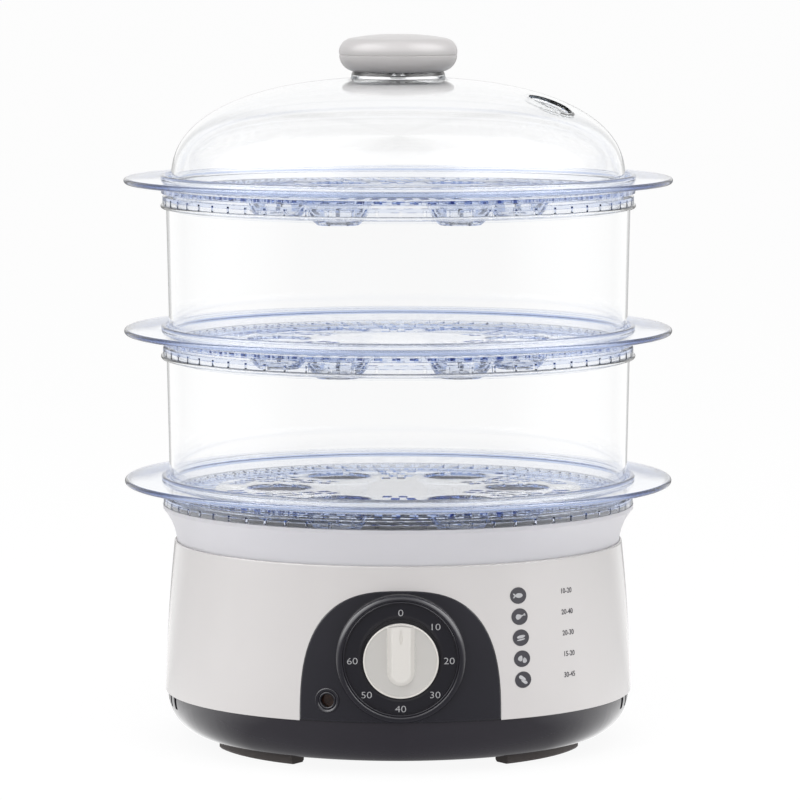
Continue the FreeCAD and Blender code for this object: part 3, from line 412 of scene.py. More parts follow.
# Trays: one clear moulding each, with a flange, a toothed skirt, a slotted floor and egg cups

tray = {
    "flangeRadius": 0.145, "flangeThickness": 0.0022, "lipThickness": 0.0032,
    "recessRadius": 0.1226, "recessDepth": 0.0043, "beadRise": 0.0032, "wall": 0.002,
    "skirtRadius": 0.1245, "skirtDepth": 0.0124, "shoulderRise": 0.0042, "grooveHeight": 0.0017,
    "teeth": 64, "toothGap": 0.0016, "locatingRadius": 0.1174, "locatingWall": 0.0017,
    "locatingDepth": 0.016, "floorRadius": 0.1186,
    "cupCount": 6, "cupCircle": 0.0632, "cupMouth": 0.0169, "cupBottom": 0.0094,
    "cupDepth": 0.014, "cupWall": 0.0016, "cupBorder": 0.0036, "cupDrain": 0.005,
    "discRadius": 0.0387, "slotWidth": 0.0046, "slotPitch": 0.0083, "slotLength": 0.0091,
    "slotRowGap": 0.00195, "rimSlotMargin": 0.0027, "rimSlotLength": 0.0033,
    "longSlotGap": 0.0016, "longSlotLength": 0.014, "plainRing": 0.0051,
    "beadFoot": 0.0012, "beadTop": 0.0013, "beadWidth": 0.0028, "lipRun": 0.002,
    "step": 0.0006, "cupWaist": 0.0016, "waistShare": 0.45, "cupEdge": 0.0005,
    "cupOverlap": 0.0008, "cutOver": 0.001, "toothMargin": 0.0008,
    "slits": 6, "slitHalf": 0.001, "slitLow": 0.004, "slitHigh": 0.0085, "slitReach": 0.004,
}


def trayProfile():
    # Heights count from the middle of the flange. The floor runs in to the axis.
    top = tray["flangeThickness"] / 2
    lip = tray["lipThickness"] / 2
    lipCentre = tray["flangeRadius"] - lip
    shoulder = tray["skirtDepth"] - tray["shoulderRise"]
    groove = shoulder - tray["grooveHeight"]
    recess = tray["recessRadius"]
    wall = tray["wall"]
    floorTop = -tray["recessDepth"]
    floorUnder = floorTop - wall
    locating = tray["locatingRadius"]
    rootRadius, stemRadius = recess + wall + tray["step"], tray["floorRadius"] + tray["step"]
    return outline(
        (0, floorTop),
        (recess, floorTop),
        (recess, tray["beadRise"] - tray["beadFoot"]),
        ((recess + tray["beadTop"], tray["beadRise"]), (recess + tray["beadWidth"], top)),
        (lipCentre - tray["lipRun"], top),
        (lipCentre, lip),
        ((tray["flangeRadius"], 0), (lipCentre, -lip)),
        (lipCentre - tray["lipRun"], -top),
        (rootRadius, -top),
        (rootRadius, -groove),
        (stemRadius, -groove),
        (stemRadius, -shoulder),
        (tray["skirtRadius"], -shoulder),
        (tray["skirtRadius"], -tray["skirtDepth"]),
        (tray["skirtRadius"] - wall, -tray["skirtDepth"]),
        (tray["skirtRadius"] - wall, -shoulder - wall),
        (locating, -shoulder - wall),
        (locating, -tray["locatingDepth"]),
        (locating - tray["locatingWall"], -tray["locatingDepth"]),
        (locating - tray["locatingWall"], floorUnder),
        (0, floorUnder),
    )


def cupCentres():
    for index in range(tray["cupCount"]):
        angle = 2 * math.pi * index / tray["cupCount"]
        yield Vector((tray["cupCircle"] * math.cos(angle), tray["cupCircle"] * math.sin(angle), 0))


def slotRows():
    # Rows from the rim inwards: short slots, long slots, a plain ring, then rows to the disc.
    high = tray["floorRadius"] - tray["rimSlotMargin"]
    low = high - tray["rimSlotLength"]
    yield low, high
    high = low - tray["longSlotGap"]
    low = high - tray["longSlotLength"]
    yield low, high
    high = low - tray["plainRing"]
    while high > tray["discRadius"] + tray["slotLength"] * 0.6:
        low = high - tray["slotLength"]
        yield max(low, tray["discRadius"] + tray["slotRowGap"]), high
        high = low - tray["slotRowGap"]


def clearOfCups(low, high, angle):
    reach = tray["cupMouth"] + tray["cupBorder"] + tray["slotWidth"] / 2
    for radius in (low, (low + high) / 2, high):
        point = Vector((radius * math.cos(angle), radius * math.sin(angle), 0))
        if any((point - cup).length < reach for cup in cupCentres()):
            return False
    return True


def latheInto(shape, profile, centre, steps=48):
    # A turned solid, placed beside the axis and added to shape.
    turned = lathe(profile, steps)
    bmesh.ops.translate(turned, verts=turned.verts, vec=centre)
    mesh = bpy.data.meshes.new("turned")
    turned.to_mesh(mesh)
    turned.free()
    shape.from_mesh(mesh)
    bpy.data.meshes.remove(mesh)


def makeTrayMesh():
    floorTop = -tray["recessDepth"]
    floorUnder = floorTop - tray["wall"]
    cupLow = floorUnder - tray["cupDepth"]
    mouth, bottom, wall = tray["cupMouth"], tray["cupBottom"], tray["cupWall"]
    collar, drain = mouth + tray["cupBorder"], tray["cupDrain"]
    waist = mouth - tray["cupWaist"]
    waistHeight = floorUnder - tray["cupDepth"] * tray["waistShare"]
    over, edge = tray["cutOver"], tray["cupEdge"]
    body = meshFrom("tray", lathe(trayProfile()))

    cups = bmesh.new()
    outside = outline(
        (0, floorUnder + tray["cupOverlap"]), (collar, floorUnder + tray["cupOverlap"]),
        (collar, floorUnder - tray["wall"]), (mouth + wall, floorUnder - tray["wall"]),
        ((waist + wall, waistHeight), (bottom + wall, cupLow)), (0, cupLow))
    for centre in cupCentres():
        latheInto(cups, outside, centre)
    body = carve(body, cups, "UNION")

    cuts = bmesh.new()
    inside = outline(
        (0, floorTop + over), (mouth + edge, floorTop + over), (mouth + edge, floorTop),
        (mouth, floorTop - edge), (mouth, floorUnder),
        ((waist, waistHeight), (bottom, cupLow + wall)), (drain, cupLow + wall),
        (drain, cupLow - over), (0, cupLow - over))
    for centre in cupCentres():
        latheInto(cuts, inside, centre)
        for index in range(tray["slits"]):
            block(cuts, (bottom - over, -tray["slitHalf"], cupLow + tray["slitLow"]),
                  (mouth + tray["slitReach"], tray["slitHalf"], cupLow + tray["slitHigh"]),
                  2 * math.pi * (index + 0.5) / tray["slits"], centre)
    half = tray["slotWidth"] / 2
    for row, (low, high) in enumerate(slotRows()):
        count = round(math.pi * (low + high) / tray["slotPitch"])
        for index in range(count):
            angle = 2 * math.pi * (index + 0.5 * (row % 2)) / count
            if clearOfCups(low, high, angle):
                block(cuts, (low, -half, floorUnder - over), (high, half, floorTop + over), angle)
    shoulder = tray["skirtDepth"] - tray["shoulderRise"]
    half = tray["toothGap"] / 2
    for index in range(tray["teeth"]):
        block(cuts, (tray["skirtRadius"] - tray["wall"] - tray["toothMargin"], -half,
                     -tray["skirtDepth"] - over),
              (tray["skirtRadius"] + over, half, -shoulder - tray["toothMargin"]),
              2 * math.pi * index / tray["teeth"])
    return meshFrom("tray", shapeOf(carve(body, cuts, "DIFFERENCE")), 24.0)


trayMesh = makeTrayMesh()
for level, bodyName in (("lower", "lower_tray"), ("middle", "middle_tray"), ("top", "top_tray")):
    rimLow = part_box(level + "_tray_rim")[0].z
    mesh = trayMesh.copy()
    mesh.transform(Matrix.Translation((0, 0, rimLow + tray["locatingDepth"])))
    piece = addPiece(level + "Tray", mesh, bodyName, "tray_plastic", finishes["tray_plastic"],
                     level + "_tray_rim", level + "_tray_floor", level + "_tray_cups")
print("steamer: trays moulded", len(trayMesh.polygons))


# Bowls

bowl = {"footRadius": 0.1211, "draft": 0.0015, "wall": 0.002, "rimRound": 0.0006,
        "edgeRound": 0.0005}


def makeBowlMesh(node):
    low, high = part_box(node)
    rimRadius = high.x
    foot, wall = bowl["footRadius"], bowl["wall"]
    neck = foot + bowl["draft"]
    underRim = high.z - wall
    shape = lathe(outline(
        (foot - wall, low.z), (foot, low.z), (neck, underRim),
        (rimRadius - bowl["rimRound"], underRim),
        ((rimRadius, (underRim + high.z) / 2), (rimRadius - bowl["rimRound"], high.z)),
        (neck - wall, high.z), (neck - wall, underRim)))
    softenEdges(shape, bowl["edgeRound"])
    return meshFrom(node, shape)


for node in ("lower_bowl", "upper_bowl"):
    addPiece(node.replace("_b", "B"), makeBowlMesh(node), node, "clear_plastic",
             finishes["clear_plastic"], node)
print("steamer: bowls moulded")


# Lid

lid = {
    "exponent": 2.35, "sideRadius": 0.12, "footRadius": 0.1211, "wall": 0.0022,
    "rise": 0.0542, "footDrop": 0.0043, "neckRadius": 0.0251, "neckTaper": 0.0008,
    "neckHeight": 0.0035, "screwHole": 0.0023,
    "ventCircle": 0.086, "ventAngle": math.radians(-23.0), "ventRadius": 0.012,
    "ventDepth": 0.0026, "ventWall": 0.0016, "ventSlot": 0.008, "ventSlotWidth": 0.0026,
    "ventSlotShift": 0.0045, "ventSink": 0.0016, "ventEdge": 0.0004, "ventOver": 0.004,
    "slotDrop": 0.001, "slotHeight": 0.0035, "sideFoot": 0.0008, "edgeRound": 0.0004,
}


def domeCurve(side, rise, least, count=40):
    # A superellipse from the side at the foot up to the least radius.
    power = lid["exponent"]
    last = math.acos((least / side) ** (power / 2))
    points = []
    for step in range(count + 1):
        angle = last * step / count
        points.append((side * math.cos(angle) ** (2 / power),
                       rise * math.sin(angle) ** (2 / power)))
    return points


def ventFrame():
    # Where the vent's middle sits on the dome, with Z square to the dome and X down its slope.
    power, side, rise = lid["exponent"], lid["sideRadius"], lid["rise"]
    ratio = lid["ventCircle"] / side
    height = rise * (1 - ratio ** power) ** (1 / power)
    normal = Vector((ratio ** (power - 1) / side, 0, (height / rise) ** (power - 1) / rise))
    turn = Vector((0, 0, 1)).rotation_difference(normal).to_matrix().to_4x4()
    spot = Matrix.Translation((lid["ventCircle"], 0, height))
    return Matrix.Rotation(lid["ventAngle"], 4, "Z") @ spot @ turn


def ventTools():
    # The cup added inside the dome, and the pocket and slot cut from it.
    floor, edge, over = -lid["ventDepth"], lid["ventEdge"], lid["ventOver"]
    foot = floor - lid["ventWall"]
    inner, outer = lid["ventRadius"], lid["ventRadius"] + lid["ventWall"]
    cup = lathe([(0, foot), (outer, foot), (outer, -lid["ventSink"]), (0, -lid["ventSink"])], 96)
    pocket = lathe([(0, floor), (inner - edge, floor), (inner, floor + edge), (inner, over),
                    (0, over)], 96)
    half = lid["ventSlotWidth"] / 2
    run = lid["ventSlot"] / 2 - half
    slot = bmesh.new()
    bmesh.ops.create_circle(slot, cap_ends=True, segments=32, radius=half)
    for point in slot.verts:
        point.co.x += math.copysign(run, point.co.x + 1e-9)
    place = (0, lid["ventSlotShift"], foot - lid["slotDrop"])
    bmesh.ops.translate(slot, verts=slot.verts, vec=place)
    drawOut(slot, slot.faces[:], (0, 0, lid["slotHeight"]))
    for shape in (cup, pocket, slot):
        shape.transform(ventFrame())
    return cup, pocket, slot


def makeLidMesh():
    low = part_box("lid_dome")[0].z + lid["footDrop"]
    wall, side, foot = lid["wall"], lid["sideRadius"], lid["footRadius"]
    neckOuter = lid["neckRadius"] - lid["neckTaper"]
    outer = domeCurve(side, lid["rise"], lid["neckRadius"])
    inner = domeCurve(side - wall, lid["rise"] - wall, neckOuter - wall)
    neckTop = outer[-1][1] + lid["neckHeight"]
    profile = [(foot - wall, -lid["footDrop"]), (foot, -lid["footDrop"]), (foot, -lid["sideFoot"])]
    profile += outer
    profile += [(neckOuter, neckTop), (lid["screwHole"], neckTop),
                (lid["screwHole"], neckTop - wall), (inner[-1][0], neckTop - wall)]
    profile += reversed(inner)
    profile += [(foot - wall, -lid["sideFoot"])]
    shape = lathe(profile)
    softenEdges(shape, lid["edgeRound"], angle=40.0)
    cup, pocket, slot = ventTools()
    dome = carve(meshFrom("lid", shape), cup, "UNION")
    for tool in (pocket, slot):
        dome = carve(dome, tool, "DIFFERENCE")
    dome.transform(Matrix.Translation((0, 0, low)))
    return meshFrom("lid", shapeOf(dome))


addPiece("lidDome", makeLidMesh(), "lid", "clear_plastic", finishes["clear_plastic"], "lid_dome")
print("steamer: lid moulded")


# Housing surface, which the panel and the print follow

housing = {"seamHeight": 0.028, "height": 0.079, "seamRadius": 0.1238, "topRadius": 0.1188,
           "bulge": 0.0008}


def housingRadius(height):
    share = (height - housing["seamHeight"]) / housing["height"]
    straight = housing["seamRadius"] + (housing["topRadius"] - housing["seamRadius"]) * share
    return straight + 4 * housing["bulge"] * share * (1 - share)


def faceFront(shape, height, turn=0.0):
    # A turned shape is stood with its axis along Y, at a height, and swung about the middle.
    bmesh.ops.rotate(shape, verts=shape.verts, cent=(0, 0, 0),
                     matrix=Matrix.Rotation(math.radians(-90), 3, "X"))
    bmesh.ops.translate(shape, verts=shape.verts, vec=(0, 0, height))
    bmesh.ops.rotate(shape, verts=shape.verts, cent=(0, 0, 0),
                     matrix=Matrix.Rotation(turn, 3, "Z"))
    return shape


# Control panel: an arched cover with a raised ring round the dial and a small lamp bezel

panel = {
    "halfWidth": 0.0516, "rise": 0.0675, "exponent": 2.75, "gap": 0.0003, "proud": 0.0004,
    "edgeDrop": 0.0006, "edgeWidth": 0.0006, "thickness": 0.0029, "rows": 12,
    "holeRadius": 0.0295,
    "dialHeight": 0.0612, "dialProud": 0.0036, "ringRadius": 0.0332, "faceRadius": 0.0287,
    "faceRecess": 0.0026, "wellRadius": 0.0202, "wellEdge": 0.0022, "wellDepth": 0.003,
    "backing": 0.0029, "shaftHole": 0.0045,
    "lampTurn": math.radians(-17.6), "lampHeight": 0.039, "bezelRadius": 0.0065,
    "bezelHeight": 0.001, "lensRadius": 0.0037,
}
dialFront = -(housingRadius(panel["dialHeight"]) + panel["dialProud"])
dialFace = dialFront + panel["faceRecess"]
wellFloor = dialFace + panel["wellDepth"]
panelBack = wellFloor + panel["backing"]


def archPoints(inset, count=44, sill=36):
    # The panel's edge seen from the front: over the arch from its right foot, then along its sill.
    power = panel["exponent"]
    wide = panel["halfWidth"] - inset
    low = housing["seamHeight"] + panel["gap"] + inset
    rise = housing["seamHeight"] + panel["rise"] - inset - low
    points = []
    for side in (1, -1):
        for step in range(count):
            share = step / count if side > 0 else 1 - step / count
            angle = math.pi / 2 * share ** (power / 2)
            points.append((side * wide * math.cos(angle) ** (2 / power),
                           low + rise * math.sin(angle) ** (2 / power)))
    for step in range(sill):
        points.append((wide * (2 * step / sill - 1), low))
    return points


def panelRing(inset, share, out):
    # A ring of points between the panel's edge and the hole behind the dial, laid on the housing.
    ring = []
    for x, z in archPoints(inset):
        rise = z - panel["dialHeight"]
        scale = 1 + (panel["holeRadius"] / math.hypot(x, rise) - 1) * share
        x, z = x * scale, panel["dialHeight"] + rise * scale
        ring.append((x, -math.sqrt((housingRadius(z) + out) ** 2 - x * x), z))
    return ring


def bridgeRings(rings):
    # Closed rings with equal counts, joined one to the next and the last back to the first.
    shape = bmesh.new()
    loops = []
    for points in rings:
        start = len(shape.verts)
        bmesh.ops.create_circle(shape, cap_ends=False, segments=len(points), radius=1.0)
        shape.verts.ensure_lookup_table()
        corners = shape.verts[start:]
        for corner, point in zip(corners, points):
            corner.co = point
        loops.append({edge for corner in corners for edge in corner.link_edges})
    for loop, other in zip(loops, loops[1:] + loops[:1]):
        bmesh.ops.bridge_loops(shape, edges=list(loop | other))
    bmesh.ops.recalc_face_normals(shape, faces=shape.faces)
    return shape


def makePanelSkin():
    rows = panel["rows"]
    face, edge = panel["proud"], panel["proud"] - panel["edgeDrop"]
    back = panel["proud"] - panel["thickness"]
    rings = [panelRing(0, 0, back), panelRing(0, 0, edge)]
    rings += [panelRing(panel["edgeWidth"], row / rows, face) for row in range(rows + 1)]
    rings += [panelRing(panel["edgeWidth"], row / rows, back) for row in range(rows, 0, -3)]
    return bridgeRings(rings)


def makeDialShape():
    # Radii and depths along Y: a rounded ring, the flat face with its numbers, and the knob's well.
    ring, face, well = panel["ringRadius"], panel["faceRadius"], panel["wellRadius"]
    return faceFront(lathe(outline(
        (panel["shaftHole"], panelBack), (ring, panelBack), (ring, dialFront + 0.0032),
        ((ring - 0.0008, dialFront + 0.0009), (ring - 0.0024, dialFront)),
        ((face + 0.0014, dialFront + 0.0002), (face + 0.0009, dialFront + 0.0007)),
        ((face + 0.0004, dialFront + 0.00025), (face, dialFront + 0.0007)),
        (face - 0.0001, dialFace - 0.0003), (face - 0.0004, dialFace),
        (well + panel["wellEdge"], dialFace), (well + 0.0003, dialFace + 0.0006),
        (well, dialFace + 0.0009), (well, wellFloor), (panel["shaftHole"], wellFloor)), 160),
        panel["dialHeight"])


def makeBezelShape():
    surface = -housingRadius(panel["lampHeight"])
    front = surface - panel["bezelHeight"]
    outer, inner = panel["bezelRadius"], panel["lensRadius"]
    return faceFront(lathe(outline(
        (inner, surface + 0.0035), (outer, surface + 0.0035), (outer, front + 0.0006),
        ((outer - 0.0002, front + 0.0001), (outer - 0.0008, front)),
        ((outer - 0.0014, front + 0.0002), (inner + 0.0008, front + 0.0008)),
        ((inner + 0.0003, front + 0.0002), (inner - 0.0003, front + 0.0007)),
        (inner - 0.0003, front + 0.0013), (inner, front + 0.0013)), 96),
        panel["lampHeight"], panel["lampTurn"])


def drum(radius, front, back, height, turn=0.0):
    return faceFront(lathe([(0, front), (radius, front), (radius, back), (0, back)], 96),
                     height, turn)


def makePanelMesh():
    mesh = meshFrom("panel", makePanelSkin())
    hole = drum(panel["lensRadius"] + 0.0008, -0.14, -0.1, panel["lampHeight"], panel["lampTurn"])
    mesh = carve(mesh, hole, "DIFFERENCE")
    mesh = carve(mesh, makeDialShape(), "UNION")
    return carve(mesh, makeBezelShape(), "UNION")


panelPiece = addPiece("controlPanel", meshFrom("controlPanel", shapeOf(makePanelMesh())), "base",
                      "dark_panel", finishes["dark_panel"], "control_panel")
print("steamer: control panel made", len(panelPiece.data.polygons))


# Timer knob: a dished face with a grip that rises from it, and a drop-shaped pointer

knob = {
    "radius": 0.0192, "depth": 0.011, "edgeRound": 0.0006, "shell": 0.002, "dish": 0.0013,
    "taper": 0.0012, "lipWidth": 0.0006,
    "gripWide": 0.015, "gripFlat": 0.0086, "gripHeight": 0.005, "gripFoot": 0.006,
    "pointerTop": 0.0021, "pointerLength": 0.008, "pointerWidth": 0.0018, "pointerDepth": 0.0006,
    "pointerSteps": 13, "pointerSkew": 1.4, "pointerReach": 0.004,
    "ring": 0.0003, "lift": 0.0006, "roundShare": 0.29, "faceWall": 0.0027, "lipShare": 0.45,
    # The sunk settings mark out the knob's face that gets the painted shade.
    "sunkInset": 0.001, "sunkFrom": 0.0002, "sunkTo": 0.002, "sunkRise": 0.0004,
}
knobBack = wellFloor - knob["lift"]
knobFront = knobBack - knob["depth"]


def easeIn(value):
    value = min(1.0, max(0.0, value))
    return value * value * (3 - 2 * value)


def gripRise(x, z):
    # How far the grip stands out of the knob's face, x and z measured from the knob's middle.
    half = knob["gripWide"] / 2
    low = knob["gripFoot"] - knob["radius"] + half
    outside = math.hypot(x, max(0.0, low - z)) - half
    slope = half - knob["gripFlat"] / 2
    return knob["gripHeight"] * easeIn(-outside / slope)


def makeKnobMesh():
    radius, edge = knob["radius"], knob["edgeRound"]
    flat = radius - edge
    rings = int(flat / knob["ring"])
    profile = [(flat * step / rings, knobFront) for step in range(rings + 1)]
    back = radius - knob["taper"]
    inside = back - knob["shell"]
    corner, ceiling = edge * knob["roundShare"], knobFront + knob["faceWall"]
    profile += outline((flat, knobFront),
                       ((radius - corner, knobFront + corner), (radius, knobFront + edge)),
                       (back, knobBack), (inside, knobBack), (inside, ceiling), (0, ceiling))[1:]
    shape = lathe(profile, 256)
    for point in shape.verts:
        away = math.hypot(point.co.x, point.co.y)
        if point.co.z < knobFront + 1e-6 and away < flat - 1e-6:
            # the lathe's Y is the dial's height, upside down, until the shape is stood up
            rise = gripRise(point.co.x, -point.co.y)
            lip = knob["lipShare"] * easeIn((flat - away) / knob["lipWidth"])
            bowed = (1 - knob["lipShare"]) * (1 - (away / flat) ** 2)
            hollow = knob["dish"] * (lip + bowed)
            point.co.z += hollow * (1 - rise / knob["gripHeight"]) - rise
    faceFront(shape, panel["dialHeight"])
    bmesh.ops.recalc_face_normals(shape, faces=shape.faces)
    return carve(meshFrom("knob", shape, 50.0), makePointer(), "DIFFERENCE")


def makePointer():
    # A drop, pointed at its top, cut a little way into the grip's front.
    shape = bmesh.new()
    top = panel["dialHeight"] + knob["radius"] - knob["pointerTop"]
    right, left = [], []
    for step in range(1, knob["pointerSteps"]):
        share = step / knob["pointerSteps"]
        half = knob["pointerWidth"] / 2 * math.sin(math.pi * share ** knob["pointerSkew"])
        height = top - knob["pointerLength"] * share
        right.append((half, height))
        left.append((-half, height))
    right.append((0, top - knob["pointerLength"]))
    plane = knobFront - knob["gripHeight"] + knob["pointerDepth"]
    corners = [shape.verts.new((x, plane, z)) for x, z in [(0, top)] + right + left[::-1]]
    drawOut(shape, [shape.faces.new(corners)], (0, -knob["pointerReach"], 0))
    return shape


knobPiece = addPiece("timerKnob", meshFrom("timerKnob", shapeOf(makeKnobMesh()), 40.0), "knob",
                     "knob_white", finishes["knob_white"], "timer_knob")
knobPiece.data.materials.append(finishes["knob_face"])
# The sunk face round the grip gets the second finish: a darker colour that paints in the dish's
# shade, on a rougher, matt skin.
for patch in knobPiece.data.polygons:
    x, z = patch.center.x, patch.center.z - panel["dialHeight"]
    within = math.hypot(x, z) < knob["radius"] - knob["sunkInset"]
    sunk = knob["sunkFrom"] < patch.center.y - knobFront < knob["sunkTo"]
    if within and sunk and gripRise(x, z) < knob["sunkRise"]:
        patch.material_index = 1
print("steamer: knob made", len(knobPiece.data.polygons))


# Printing: plain numbers round the dial, and simple food signs with minutes on the housing

printing = {
    "numbers": ["0", "10", "20", "30", "40", "50", "60"], "numberStep": math.radians(45.0),
    "numberRadius": 0.0247, "numberDrop": 0.0011, "numberHeight": 0.0033, "numberWeight": -0.012,
    "numberWiden": 1.22, "ink": 0.00004,
    "minutes": ["10-20", "20-40", "20-30", "15-20", "30-45"],
    "signAngle": math.radians(30.1), "signTop": 0.091, "signPitch": 0.01082,
    "signLean": math.radians(0.16), "signRadius": 0.00425, "signWiden": 1.16,
    "minuteAngle": math.radians(45.4), "minuteHeight": 0.0027, "minuteWeight": 0.012,
    "discProud": 0.00008, "signProud": 0.00014, "minuteProud": 0.00006,
}


def textMesh(label, height, weight=0.0, widen=1.0):
    # Flat lettering in the XZ plane, centred, with its digits as tall as asked.
    curve = bpy.data.curves.new("label", "FONT")
    curve.body = label
    curve.align_x = "CENTER"
    curve.offset = weight
    curve.resolution_u = 4
    piece = newObject("label", curve)
    bpy.context.view_layer.update()
    graph = bpy.context.evaluated_depsgraph_get()
    mesh = bpy.data.meshes.new_from_object(piece.evaluated_get(graph))
    bpy.data.objects.remove(piece)
    bpy.data.curves.remove(curve)
    low = min(point.co.y for point in mesh.vertices)
    high = max(point.co.y for point in mesh.vertices)
    size = height / (high - low)
    lift = Matrix.Translation((0, -(high + low) / 2, 0))
    stand = Matrix.Rotation(math.radians(90), 4, "X")
    mesh.transform(stand @ Matrix.Diagonal((size * widen, size, size, 1)) @ lift)
    return mesh


def gatherFlat(shape, mesh, place):
    # Adds a flat drawing to shape, moved to its place.
    mesh.transform(place)
    shape.from_mesh(mesh)
    bpy.data.meshes.remove(mesh)


def inked(shape, name):
    # Gives a flat drawing its thin layer of ink, towards -Y.
    bmesh.ops.remove_doubles(shape, verts=shape.verts, dist=1e-7)
    drawOut(shape, shape.faces[:], (0, -printing["ink"], 0), keep=True)
    return meshFrom(name, shape)


def petal(shape, x, z, long, wide, tilt=0.0, taper=0.0):
    # A closed oval, tilted by degrees, and thinner towards its far end when it tapers.
    start = len(shape.verts)
    bmesh.ops.create_circle(shape, cap_ends=True, segments=28, radius=1.0)
    shape.verts.ensure_lookup_table()
    turn = Matrix.Rotation(-math.radians(tilt), 3, "Y")
    for point in shape.verts[start:]:
        along, across = point.co.x, point.co.y
        point.co = turn @ Vector((along * long, 0, across * wide * (1 - taper * along)))
        point.co += Vector((x, 0, z))


# The ovals of each sign: the middle across and up, half length, half width, tilt, taper.
signOvals = {
    "fish": ((0.0004, 0, 0.0022, 0.0012), (-0.0024, 0.0006, 0.0009, 0.0004, -40, -0.3),
             (-0.0024, -0.0006, 0.0009, 0.0004, 40, -0.3)),
    "bird": ((-0.0005, 0, 0.0019, 0.0013, 12, 0.35), (0.0019, 0.0006, 0.0011, 0.0003, 20),
             (0.0029, 0.0012, 0.0004, 0.0004), (0.0031, 0.0007, 0.0004, 0.0004)),
    "cutlet": ((0, 0.0005, 0.0025, 0.0008, 8), (0, -0.001, 0.0025, 0.0004, 8)),
    "dumpling": ((-0.001, 0.0003, 0.0015, 0.0013, 60, 0.4),
                 (0.0015, -0.0008, 0.0014, 0.0012, 100, 0.4)),
    "root": ((-0.0004, 0.0009, 0.0023, 0.0009, -25, 0.4),
             (0.0006, -0.001, 0.0021, 0.0008, 155, 0.4)),
}


def wrapOnHousing(mesh, angle, height, proud):
    # Lays a flat drawing on the housing, with its middle at an angle from the front and a height.
    reach = housingRadius(height)
    for point in mesh.vertices:
        x, y, z = point.co
        radius = housingRadius(height + z) + proud - y
        swing = angle + x / reach
        point.co = (radius * math.sin(swing), -radius * math.cos(swing), height + z)
    return mesh


dialNumbers = bmesh.new()
for index, label in enumerate(printing["numbers"]):
    turn = printing["numberStep"] * index
    spot = (printing["numberRadius"] * math.sin(turn), dialFace,
            panel["dialHeight"] - printing["numberDrop"]
            + printing["numberRadius"] * math.cos(turn))
    gatherFlat(dialNumbers, textMesh(label, printing["numberHeight"], printing["numberWeight"],
                                    printing["numberWiden"]), Matrix.Translation(spot))
addPiece("dialNumbers", inked(dialNumbers, "dialNumbers"), "base", "knob_white",
         finishes["paleInk"])

discs, signs, minutes = bmesh.new(), bmesh.new(), bmesh.new()
for index, ovals in enumerate(signOvals.values()):
    height = printing["signTop"] - printing["signPitch"] * index
    angle = printing["signAngle"] + printing["signLean"] * index
    disc, drawing, label = bmesh.new(), bmesh.new(), bmesh.new()
    petal(disc, 0, 0, printing["signRadius"] * printing["signWiden"], printing["signRadius"])
    for oval in ovals:
        petal(drawing, *oval)
    gatherFlat(label, textMesh(printing["minutes"][index], printing["minuteHeight"],
                                printing["minuteWeight"]), Matrix())
    flats = ((discs, disc, angle, printing["discProud"]),
             (signs, drawing, angle, printing["signProud"]),
             (minutes, label, printing["minuteAngle"], printing["minuteProud"]))
    for shape, flat, swing, proud in flats:
        gatherFlat(shape, wrapOnHousing(inked(flat, "print"), swing, height, proud), Matrix())
for name, shape, ink in (("foodDiscs", discs, "darkInk"), ("foodSigns", signs, "paleInk"),
                         ("minuteNumbers", minutes, "darkInk")):
    addPiece(name, meshFrom(name, shape), "base",
             "knob_white" if ink == "paleInk" else "dark_panel", finishes[ink])
print("steamer: printing laid on")


# Camera, light and floor

view = {"distance": 2.7034, "height": 0.44495, "swing": 0.6, "pitch": 5.565, "lens": 230.36,
        "sensor": 36.0, "shift": 0.00225}
swing = math.radians(view["swing"])
camera = bpy.data.cameras.new("camera")
camera.lens = view["lens"]
camera.sensor_width = view["sensor"]
camera.shift_x = view["shift"]
camera.clip_end = 100.0
cameraObject = newObject("camera", camera)
cameraObject.location = (-view["distance"] * math.sin(swing), -view["distance"] * math.cos(swing),
                         view["height"])
cameraObject.rotation_euler = (math.radians(90 - view["pitch"]), 0, -swing)
bpy.context.scene.camera = cameraObject

lamps = {
    "overhead": {"place": (0.2, -0.5, 1.7), "size": (1.4, 1.4), "power": 9.0},
    "leftStrip": {"place": (-1.3, -0.5, 0.45), "size": (0.35, 1.3), "power": 1.6},
    "rightStrip": {"place": (1.3, -0.5, 0.45), "size": (0.35, 1.3), "power": 1.6},
    "frontFill": {"place": (-0.6, -2.2, 1.2), "size": (1.2, 1.2), "power": 12.0},
}
aim = Vector((0, 0, 0.16))
for name, lamp in lamps.items():
    light = bpy.data.lights.new(name, "AREA")
    light.shape = "RECTANGLE"
    light.size, light.size_y = lamp["size"]
    light.energy = lamp["power"]
    lightObject = newObject(name, light)
    lightObject.location = lamp["place"]
    lightObject.rotation_euler = (aim - lightObject.location).to_track_quat("-Z", "Y").to_euler()
    lightObject.visible_glossy = False
    lightObject.visible_transmission = False

# Brightness of the studio as gloss sees it. Turns run from straight behind the object, at 0,
# round either side to the front, at 180 degrees. Lifts are degrees above the table.
surround = {
    "turns": ((0, 0.34), (20, 0.36), (25, 1.15), (36, 1.1), (48, 0.9), (88, 1.7), (108, 1.4),
              (132, 0.4), (180, 0.2)),
    "boxes": ((0, 0.0), (66, 0.0), (90, 1.0), (140, 1.0), (158, 0.4), (180, 0.3)),
    "lifts": ((0, 0.0), (5, 0.2), (15, 4.0), (50, 6.0), (64, 2.0), (90, 1.0)),
    "ceiling": 8.0,
    # only above the table, and behind: what flat tops and flanges mirror
    "rear": ((0, 0.66), (13, 0.66), (22, 0.0), (180, 0.0)), "rearFrom": math.radians(0.6),
}


